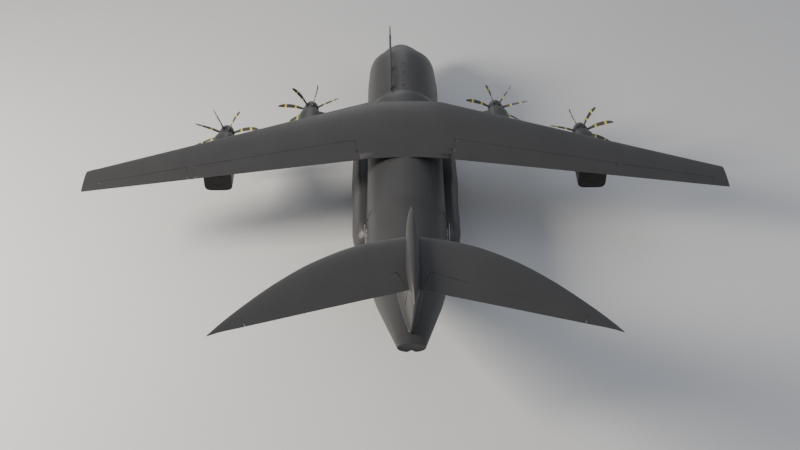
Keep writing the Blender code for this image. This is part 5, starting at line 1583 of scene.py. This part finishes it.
def make_wing_fittings():
    """Lights, panels, tracks under the flaps and static dischargers."""
    air = Build()
    for side in (1, -1):
        # fuel caps and access ovals on the upper skin
        for out, share in ((4.4, 0.42), (9.4, 0.40), (15.4, 0.38), (18.2, 0.40)):
            station = wing_middle(out, share)[0]
            p = wing_skin(side * out, station)
            outward = wing_skin(side * (out + 0.1), station) - p
            normal = (wing_skin(side * out, station - 0.1) - p).cross(outward)
            normal = normal.normalized() if normal.z > 0 else -normal.normalized()
            disc(air, p, normal, 0.11, 0.005, 28, 0)
            disc(air, p, normal, 0.055, 0.008, 20, 0)
        # landing light glass in the leading edge and the tip lights
        for low, high, index in ((10.00, 10.45, 3), (3.75, 4.15, 3), (20.62, 21.02, 4 if side == 1 else 5)):
            rings = []
            for out in spread(low, high, 7):
                ring = []
                for share, way in ((0.030, 1), (0.018, 1), (0.008, 1), (0.002, 1), (0.0, 1), (0.002, -1),
                                   (0.008, -1), (0.018, -1), (0.030, -1)):
                    station = wing_middle(out, share)[0]
                    ahead = Vector((0, -0.004 if share < 0.01 else 0, 0))
                    ring.append(wing_skin(side * out, station, way, 0.010) + ahead)
                centre = wing_middle(out, 0.03)
                ring += [wing_skin(side * out, centre[0], -1, -0.03),
                         wing_skin(side * out, centre[0], 1, -0.03)]
                rings.append(ring)
            air.rings(rings, index)
        # tracks: the front part of each fairing stays on the wing, the rear part turns with the flap
        flap = Build()
        for out in (4.90, 8.75, 10.90, 13.55):
            station, middle, half = wing_middle(out, FLAP[2])
            slant = math.tan(math.radians(FLAP_DOWN)) * 0.95
            rings = []
            for t in spread(0, 1, 15):
                swell = math.sin(math.pi * min(1.0, 0.06 + 0.60 * t)) ** 0.7
                ring = []
                for u, v in oval(2, 2, 20):
                    depth = half + 0.26 * swell * (0.5 - 0.5 * v)
                    base = station - 1.90 * (1 - t) - 0.07 - slant * depth * t
                    ring.append(at(side * (out + 0.105 * swell * u), base,
                                   middle - (depth if v < 0 else half - 0.10)))
                rings.append(ring)
            air.rings(rings, 0)
            rings = []
            for t in spread(0, 1, 15):
                swell = math.sin(math.pi * min(1.0, 0.62 + 0.36 * t)) ** 0.7
                ring = []
                local, low_middle, low_half = wing_middle(out, FLAP[2] + 0.016 + (0.967 - FLAP[2]) * t)
                for u, v in oval(2, 2, 20):
                    depth = low_half + 0.26 * swell * (0.5 - 0.5 * v)
                    lean = 0.95 * max(0.0, depth - low_half * 0.8) * (1 - t) ** 2 if v < 0 else 0.0
                    ring.append(at(side * (out + 0.105 * max(0.15, swell) * u), local + lean,
                                   low_middle - (depth if v < 0 else low_half * 0.4)))
                rings.append(ring)
            flap.rings(rings, 0)
        name = "left" if side == 1 else "right"
        for out in spread(5.5, 13.2, 4):
            wick(flap, wing_skin(side * out, wing_middle(out, 0.999)[0]), 0.16, 1)
        flap.piece("flap_tracks_" + name, "flap_" + name, ["wing", "rubber"], "grey_paint")
        aileron = Build()
        for out in spread(15.4, 20.0, 5):
            wick(aileron, wing_skin(side * out, wing_middle(out, 0.999)[0]), 0.20, 0)
        aileron.piece("aileron_wicks_" + name, "aileron_" + name, "rubber", "gear_steel")
        for out in (20.55, 20.85):
            wick(air, wing_skin(side * out, wing_middle(out, 0.999)[0]), 0.20, 6)
    air.piece("wing_fittings", "airframe",
              ["wing", "dark", "steel", "lamp", "red_lens", "green_lens", "rubber"], "grey_paint")

    for name, side in SIDES:
        build = Build()
        for out in (3.4, 5.2, 6.6, 7.6):
            _, _, te = table_at(TAILPLANE, out)
            wick(build, at(side * out, te - 0.03, TAILPLANE_HEIGHT), 0.16)
        build.piece("elevator_wicks_" + name, "elevator_" + name, "rubber", "gear_steel")
    build = Build()
    for z in (8.4, 9.6, 10.8, 11.8):
        _, _, te, _ = table_at(FIN, z)
        wick(build, at(0, te - 0.03, z), 0.16)
    build.piece("rudder_wicks", "rudder", "rubber", "gear_steel")
    build = Build()
    disc(build, at(0, 42.98, 13.65), AFT, 0.03, 0.06, 20, 0, 0.10)
    for side in (1, -1):
        disc(build, at(side * 0.31, 37.9, 13.63), Vector((side, 0, 0)), 0.05, 0.02, 20, 1)
    build.piece("tail_lights", "airframe", ["lamp", "fin"], "grey_paint")


def make_nacelle_fittings():
    """Exhausts, scoops, louvres, drains and latches of the engines."""
    build = Build()
    for _, out, station, height, *_ in ENGINES:
        front = station + NACELLE_FRONT
        for side in (1, -1):
            x = side * out
            # exhaust: a short oval pipe out of the rear face, with its cone, on a ribbed bulkhead
            rings = [[at(x + u * f, front + aft, height + v * f) for u, v in oval(1.10, 0.80, 40)]
                     for aft, f in ((5.16, 1.0), (5.31, 1.0), (5.31, 0.93), (5.22, 0.91))]
            build.rings(rings, 0, caps=False)
            # a near-black disc just inside the pipe: painted shade of its depth
            rings = [[at(x + u * f, front + 5.215, height + v * f) for u, v in oval(1.10, 0.80, 40)]
                     for f in (0.92, 0.02)]
            build.rings(rings, 2)
            build.turned(at(x, front + 5.18, height), AFT, [(0, 0.20), (0.03, 0.19), (0.055, 0.02)], 32, 0)
            for k in range(4):
                z = height + 0.55 + 0.20 * k
                build.bar(at(x - 0.72, front + 5.18, z), at(x + 0.72, front + 5.18, z), 0.05, 0.035,
                          index=1)
            # cooling louvres, side scoops whose mouths are closed by near-black discs of painted shade, drain
            # masts below and latches
            for way in (1, -1):
                for k in range(4):
                    spot = at(x + way * 0.835, front + 1.20 + 0.11 * k, height + 0.30)
                    build.block(spot, (0.05, 0.05, 0.26), 1)
                rings = [[at(x + way * (0.80 + u), front + aft, height - 0.30 + v)
                          for u, v in oval(w, h, 20)]
                         for aft, w, h in ((1.62, 0.20, 0.20), (1.66, 0.24, 0.24), (2.0, 0.22, 0.26),
                                           (2.5, 0.10, 0.20))]
                build.rings(rings, 1)
                rings = [[at(x + way * (0.80 + u), front + 1.615, height - 0.30 + v)
                          for u, v in oval(w, w, 20)]
                         for w in (0.16, 0.02)]
                build.rings(rings, 2)
            for shift, aft, drop, tall, chord in ((0.25, 3.3, 0.86, 0.20, 0.16),
                                                  (-0.15, 3.7, 0.84, 0.14, 0.10)):
                mast = at(x + side * shift, front + aft, height - drop)
                blade(build, mast, DOWN, tall, chord, 3, 0.5, 0.3)
            for aft in (0.75, 1.35, 1.95, 2.6):
                for way in (1, -1):
                    half = smooth_rows([r[:3] for r in NACELLE], aft)[0]
                    build.block(at(x + way * half * 0.985, front + aft, height - 0.02),
                                (0.02, 0.10, 0.05), 3)
    build.piece("nacelle_fittings", "airframe", ["exhaust", "nacelle", "dark", "steel"], "nacelle_paint")


def make_gear_fittings():
    """Sleeves, pistons, links, pipes and lamps on the legs, and ribs and pipes in the wells."""
    (s0, s1), (x0, x1), roof = WELL
    build, lines = Build(), Build()
    for side in (1, -1):
        x = side * MAIN_WHEEL_OUT
        for station in MAIN_WHEEL_STATIONS:
            build.turned(at(x, station, 1.93), DOWN,
                         [(0, 0.15), (0.08, 0.15), (0.10, 0.125), (0.40, 0.125), (0.42, 0.14), (0.50, 0.14),
                          (0.52, 0.118), (0.60, 0.118)], 28, 0)
            build.turned(at(x, station, 1.36), DOWN, [(0, 0.092), (0.34, 0.092)], 28, 1)
            build.turned(at(x, station, 1.02), DOWN, [(0, 0.11), (0.30, 0.11)], 28, 0)
            for a, b in ((at(x, station + 0.12, 1.40), at(x, station + 0.36, 1.12)),
                         (at(x, station + 0.36, 1.12), at(x, station + 0.10, 0.84))):
                build.bar(a, b, 0.10, 0.035, AFT, 0)
            build.rod(at(x - 0.07, station + 0.36, 1.12), at(x + 0.07, station + 0.36, 1.12), 0.03, 14, 2)
            pipe = catmull([at(x + 0.10, station - 0.10, 1.88), at(x + 0.13, station - 0.17, 1.50),
                            at(x + 0.11, station - 0.16, 1.15), at(x + 0.12, station - 0.06, 0.80)], 6)
            lines.pipe(pipe, 0.014, 8)
        for s in spread(s0 + 0.3, s1 - 0.3, 9):
            build.bar(at(side * (x0 + 0.02), s, roof - 0.03), at(side * (x1 - 0.02), s, roof - 0.03), 0.05,
                      0.06, index=3)
            build.bar(at(side * (x1 - 0.03), s, 1.48), at(side * (x1 - 0.03), s, roof), 0.05, 0.05, AFT, 3)
        for z in (1.86, 1.80, 1.74):
            build.rod(at(side * (x0 + 0.05), s0 + 0.05, z), at(side * (x0 + 0.05), s1 - 0.05, z), 0.018, 10,
                      2)
    # nose leg: collar with its jacks, and three lamps
    (n0, n1), half, nose_roof = NOSE_WELL
    s = NOSE_WHEEL_STATION
    build.turned(at(0, s, 1.92), DOWN,
                 [(0, 0.16), (0.10, 0.16), (0.12, 0.135), (0.60, 0.135), (0.62, 0.17), (0.80, 0.17),
                  (0.82, 0.14), (0.88, 0.14)], 32, 0)
    for way in (1, -1):
        build.rod(at(way * 0.20, s - 0.26, 1.20), at(way * 0.20, s + 0.20, 1.20), 0.045, 16, 0)
        build.rod(at(way * 0.20, s - 0.38, 1.20), at(way * 0.20, s - 0.24, 1.20), 0.022, 12, 1)
        build.rod(at(way * 0.10, s, 1.22), at(way * 0.22, s, 1.22), 0.03, 12, 0)
    for x, z in ((-0.17, 1.52), (0.17, 1.52), (0.0, 1.70)):
        build.turned(at(x, s - 0.10, z), (0, -1, 0),
                     [(0, 0.03), (0.03, 0.085), (0.10, 0.095), (0.11, 0.088)], 28, 0)
        build.turned(at(x, s - 0.205, z), (0, -1, 0), [(0, 0.082), (0.012, 0.070), (0.018, 0.02)], 28, 4)
        build.rod(at(x * 0.4, s, z), at(x, s - 0.11, z), 0.02, 10, 0)
    for sx in spread(n0 + 0.25, n1 - 0.25, 5):
        for way in (1, -1):
            build.bar(at(way * (half - 0.03), sx, 1.70), at(way * (half - 0.03), sx, nose_roof - 0.02),
                      0.05, 0.05, AFT, 3)
            build.bar(at(way * (half - 0.07), sx, 0.80), at(way * (half - 0.07), sx, 1.50), 0.06, 0.03,
                      AFT, 3)
    for way in (1, -1):
        for z in (0.86, 1.20, 1.50):
            build.bar(at(way * (half - 0.07), n0 + 0.10, z), at(way * (half - 0.07), n1 - 0.10, z), 0.03,
                      0.05, index=3)
        for sx in (n0 + 0.35, n1 - 0.35):
            build.rod(at(way * (half - 0.10), sx, 1.55), at(way * (half - 0.22), sx, 1.95), 0.022, 12, 0)
    build.piece("gear_fittings", "airframe", ["gear", "chrome", "steel", "well", "lamp"], "gear_steel")
    lines.piece("brake_pipes", "airframe", "steel", "gear_steel")

    build = Build()
    for a, b in ((at(0, s + 0.10, 0.96), at(0, s + 0.34, 0.76)),
                 (at(0, s + 0.34, 0.76), at(0, s + 0.12, 0.58))):
        build.bar(a, b, 0.09, 0.035, AFT, 0)
    build.rod(at(-0.06, s + 0.34, 0.76), at(0.06, s + 0.34, 0.76), 0.03, 14, 2)
    build.turned(at(0, s, 0.98), DOWN, [(0, 0.15), (0.07, 0.15), (0.09, 0.10), (0.30, 0.10)], 28, 0)
    build.turned(at(0, s, 0.72), DOWN, [(0, 0.088), (0.12, 0.088)], 28, 1)
    build.bar(at(0, s - 0.08, 0.52), at(0, s - 0.30, 0.42), 0.05, 0.04, UP, 2)
    build.piece("nose_fork_fittings", "nose_gear_fork", ["gear", "chrome", "steel"], "gear_steel")


def make_hold():
    """Frames, stringers, lights, ducts, rails and seats of the load space."""
    build = Build()
    for s in [9.0 + k for k in range(17)] + [27.25]:
        _, belly, _, widest = body_sizes(s)
        start = math.degrees(math.asin(max(-0.95, (FLOOR_TOP + 0.05 - widest) / (widest - belly - WALL))))
        rows = [skin_at(s, blend(start, 180 - start, t), -WALL - 0.03) for t in spread(0, 1, 41)]
        inner_strip(build, rows, 0.09, 0.05, 0, 0.04)
    for angle in (8, 30, 52, 74, 106, 128, 150, 172):
        rows = [skin_at(s, angle, -WALL - 0.01) for s in spread(8.7, 25.1, 24)]
        inner_strip(build, rows, 0.06, 0.035, 0, 0.03)
    for angle in (66, 114):
        rows = [skin_at(s, angle, -WALL - 0.07) for s in spread(9.2, 25.0, 20)]
        inner_strip(build, rows, 0.10, 0.03, 1, 0.01)
    for side in (1, -1):
        build.rod(at(side * 0.75, 9.0, 5.95), at(side * 0.75, 25.0, 5.95), 0.14, 20, 3)
        build.rod(at(side * 1.95, 9.0, 5.05), at(side * 1.95, 25.0, 5.05), 0.035, 12, 2)
        build.rod(at(side * 2.02, 9.0, 4.95), at(side * 2.02, 25.0, 4.95), 0.025, 12, 2)
    build.piece("hold_frames", "airframe", ["lining", "lamp", "steel", "duct"], "grey_paint")

    build = Build()
    for x in (-1.30, -0.62, 0.62, 1.30):
        build.bar(at(x, 8.6, FLOOR_TOP + 0.012), at(x, RAMP_HINGE[0] - 0.45, FLOOR_TOP + 0.012), 0.11,
                  0.05, index=0)
    for s in spread(8.8, 26.8, 37):
        for x in (-0.96, 0.0, 0.96):
            build.rod(at(x - 0.20, s, FLOOR_TOP + 0.020), at(x + 0.20, s, FLOOR_TOP + 0.020), 0.026, 8, 1)
    for s in spread(9.1, 26.6, 18):
        for x in (-1.12, 1.12):
            build.turned(at(x, s, FLOOR_TOP - 0.01), UP, LASHING, 12, 1)
    build.piece("floor_fittings", "airframe", ["trim", "steel"], "deck_metal")

    pads, tubes = Build(), Build()
    for side in (1, -1):
        for s in spread(10.0, 23.8, 24):
            cushion(pads, at(side * 1.98, s, FLOOR_TOP + 0.46), (0.42, 0.50, 0.07))
            cushion(pads, at(side * 2.24, s, FLOOR_TOP + 0.80), (0.06, 0.50, 0.52))
            tubes.rod(at(side * 1.80, s - 0.24, FLOOR_TOP + 0.42),
                      at(side * 1.80, s + 0.24, FLOOR_TOP + 0.42), 0.018, 8)
        for s in spread(9.72, 24.08, 13):
            tubes.rod(at(side * 1.80, s, FLOOR_TOP - 0.01), at(side * 1.80, s, FLOOR_TOP + 0.42), 0.018, 8)
            tubes.rod(at(side * 1.80, s, FLOOR_TOP + 0.42), at(side * 2.30, s, FLOOR_TOP + 0.44), 0.018, 8)
            tubes.rod(at(side * 2.28, s, FLOOR_TOP + 0.42), at(side * 2.30, s, FLOOR_TOP + 1.10), 0.018, 8)
    seats = pads.piece("troop_seats", "airframe", "seat", "grey_paint", 50)
    tubes.piece("troop_seat_frames", "airframe", "steel", "gear_steel")


def make_flight_deck():
    """Crew seats, screens, glareshield, levers and sticks behind the windows."""
    z = FLIGHT_DECK_TOP
    pads, hard = Build(), Build()
    for x in (-0.62, 0.62):
        cushion(pads, at(x, 3.84, z + 0.55), (0.50, 0.50, 0.13))
        cushion(pads, at(x, 3.97, z + 0.86), (0.48, 0.12, 0.62), tilt=8)
        cushion(pads, at(x, 4.06, z + 1.26), (0.28, 0.10, 0.18), tilt=8)
        for way in (1, -1):
            hard.bar(at(x + way * 0.29, 3.70, z + 0.74), at(x + way * 0.29, 4.08, z + 0.76), 0.06, 0.05)
        hard.rod(at(x * 1.55, 3.30, z + 0.55), at(x * 1.55, 3.27, z + 0.72), 0.022, 12)
        for k in (-1, 1):
            spot = at(x + k * 0.19, 2.76, z + 0.42)
            hard.block(spot, (0.32, 0.03, 0.24), 0)
            hard.block(spot + Vector((0, 0.018 * SCALE, 0)), (0.28, 0.01, 0.20), 1)
    hard.block(at(0, 2.76, z + 0.38), (0.30, 0.03, 0.30), 0)
    hard.block(at(0, 2.778, z + 0.38), (0.26, 0.01, 0.26), 1)
    hard.bar(at(-0.96, 2.64, z + 0.62), at(0.96, 2.64, z + 0.62), 0.40, 0.045, index=2)
    for k in range(4):
        x = blend(-0.12, 0.12, k / 3)
        hard.rod(at(x, 3.05, z + 0.48), at(x, 3.00, z + 0.66), 0.012, 8)
        hard.block(at(x, 3.00, z + 0.68), (0.05, 0.05, 0.035), 2)
    hard.block(at(0, 3.60, z + 0.515), (0.34, 0.50, 0.04), 1)
    hard.block(at(0, 4.95, z + 1.80), (0.70, 0.70, 0.07), 0)
    for row in range(4):
        for column in range(6):
            hard.block(at(-0.25 + 0.1 * column, 4.72 + 0.14 * row, z + 1.76), (0.05, 0.07, 0.03), 2)
    seats = pads.piece("crew_seat_pads", "airframe", "seat", "deck_metal", 50)
    hard.piece("flight_deck_fittings", "airframe", ["console", "screen", "shield"], "deck_metal")


# Stage, lights and camera

def make_stage():
    mesh = bpy.data.meshes.new("floor")
    size = 400
    mesh.from_pydata([(-size, -size, 0), (size, -size, 0), (size, size, 0), (-size, size, 0)], [],
                     [(0, 1, 2, 3)])
    floor = bpy.data.objects.new("floor", mesh)
    t = Tree("studio_floor")
    cloud = t.noise(t.coordinates(), 0.15, 2.0, 0.5)
    t.set(colour=t.mix(cloud, (0.70, 0.70, 0.70), (0.74, 0.74, 0.74)), rough=0.9)
    mesh.materials.append(t.material)
    bpy.context.scene.collection.objects.link(floor)

    world = bpy.data.worlds.new("studio")
    bpy.context.scene.world = world
    world.use_nodes = True
    back = world.node_tree.nodes["Background"]
    back.inputs["Color"].default_value = (0.88, 0.92, 1.0, 1.0)
    back.inputs["Strength"].default_value = 0.40

    def area(name, place, target, size, power, colour):
        light = bpy.data.lights.new(name, "AREA")
        light.size, light.energy, light.color = size, power, colour
        obj = bpy.data.objects.new(name, light)
        obj.location = place
        obj.rotation_euler = (Vector(target) - Vector(place)).to_track_quat("-Z", "Y").to_euler()
        bpy.context.scene.collection.objects.link(obj)

    area("key", (33, 8, 21), (0, 0, 3), 12, 19500, (1.0, 0.92, 0.80))
    area("fill", (-30, 10, 26), (0, 0, 2), 20, 1700, (0.80, 0.88, 1.0))
    area("front", (4, -36, 12), (0, -4, 2), 12, 600, (1.0, 1.0, 1.0))


def make_camera():
    """The photo's camera, which looks down on the plane from high behind its tail."""
    yaw, pitch, roll = 0.01538, 0.6734, 0.00116
    x, station, height = 1.3135, 81.761, 49.376
    forward = Vector((-math.sin(yaw) * math.cos(pitch), -math.cos(yaw) * math.cos(pitch), -math.sin(pitch)))
    right = Vector((-math.cos(yaw), math.sin(yaw), 0))
    up = right.cross(forward)
    r = right * math.cos(roll) + up * math.sin(roll)
    u = up * math.cos(roll) - right * math.sin(roll)
    data = bpy.data.cameras.new("camera")
    data.lens, data.sensor_width, data.sensor_fit = 50.0, 36.0, "HORIZONTAL"
    data.clip_end = 2000
    obj = bpy.data.objects.new("camera", data)
    matrix = Matrix((r, u, -forward)).transposed().to_4x4()
    matrix.translation = at(x, station, height)
    obj.matrix_world = matrix
    bpy.context.scene.collection.objects.link(obj)
    bpy.context.scene.camera = obj


dress_frame()
smooth_frame()
make_radome()
make_nacelles()
make_bullet()
make_sponsons()
make_probe()
make_seals()
make_end_lips()
make_fairing_skirt()
make_fin_fillet()
make_propellers()
make_wheels()
make_nose_fittings()
make_body_fittings()
make_door_fittings()
make_wing_fittings()
make_nacelle_fittings()
make_gear_fittings()
make_hold()
make_flight_deck()
make_camera()
make_stage()
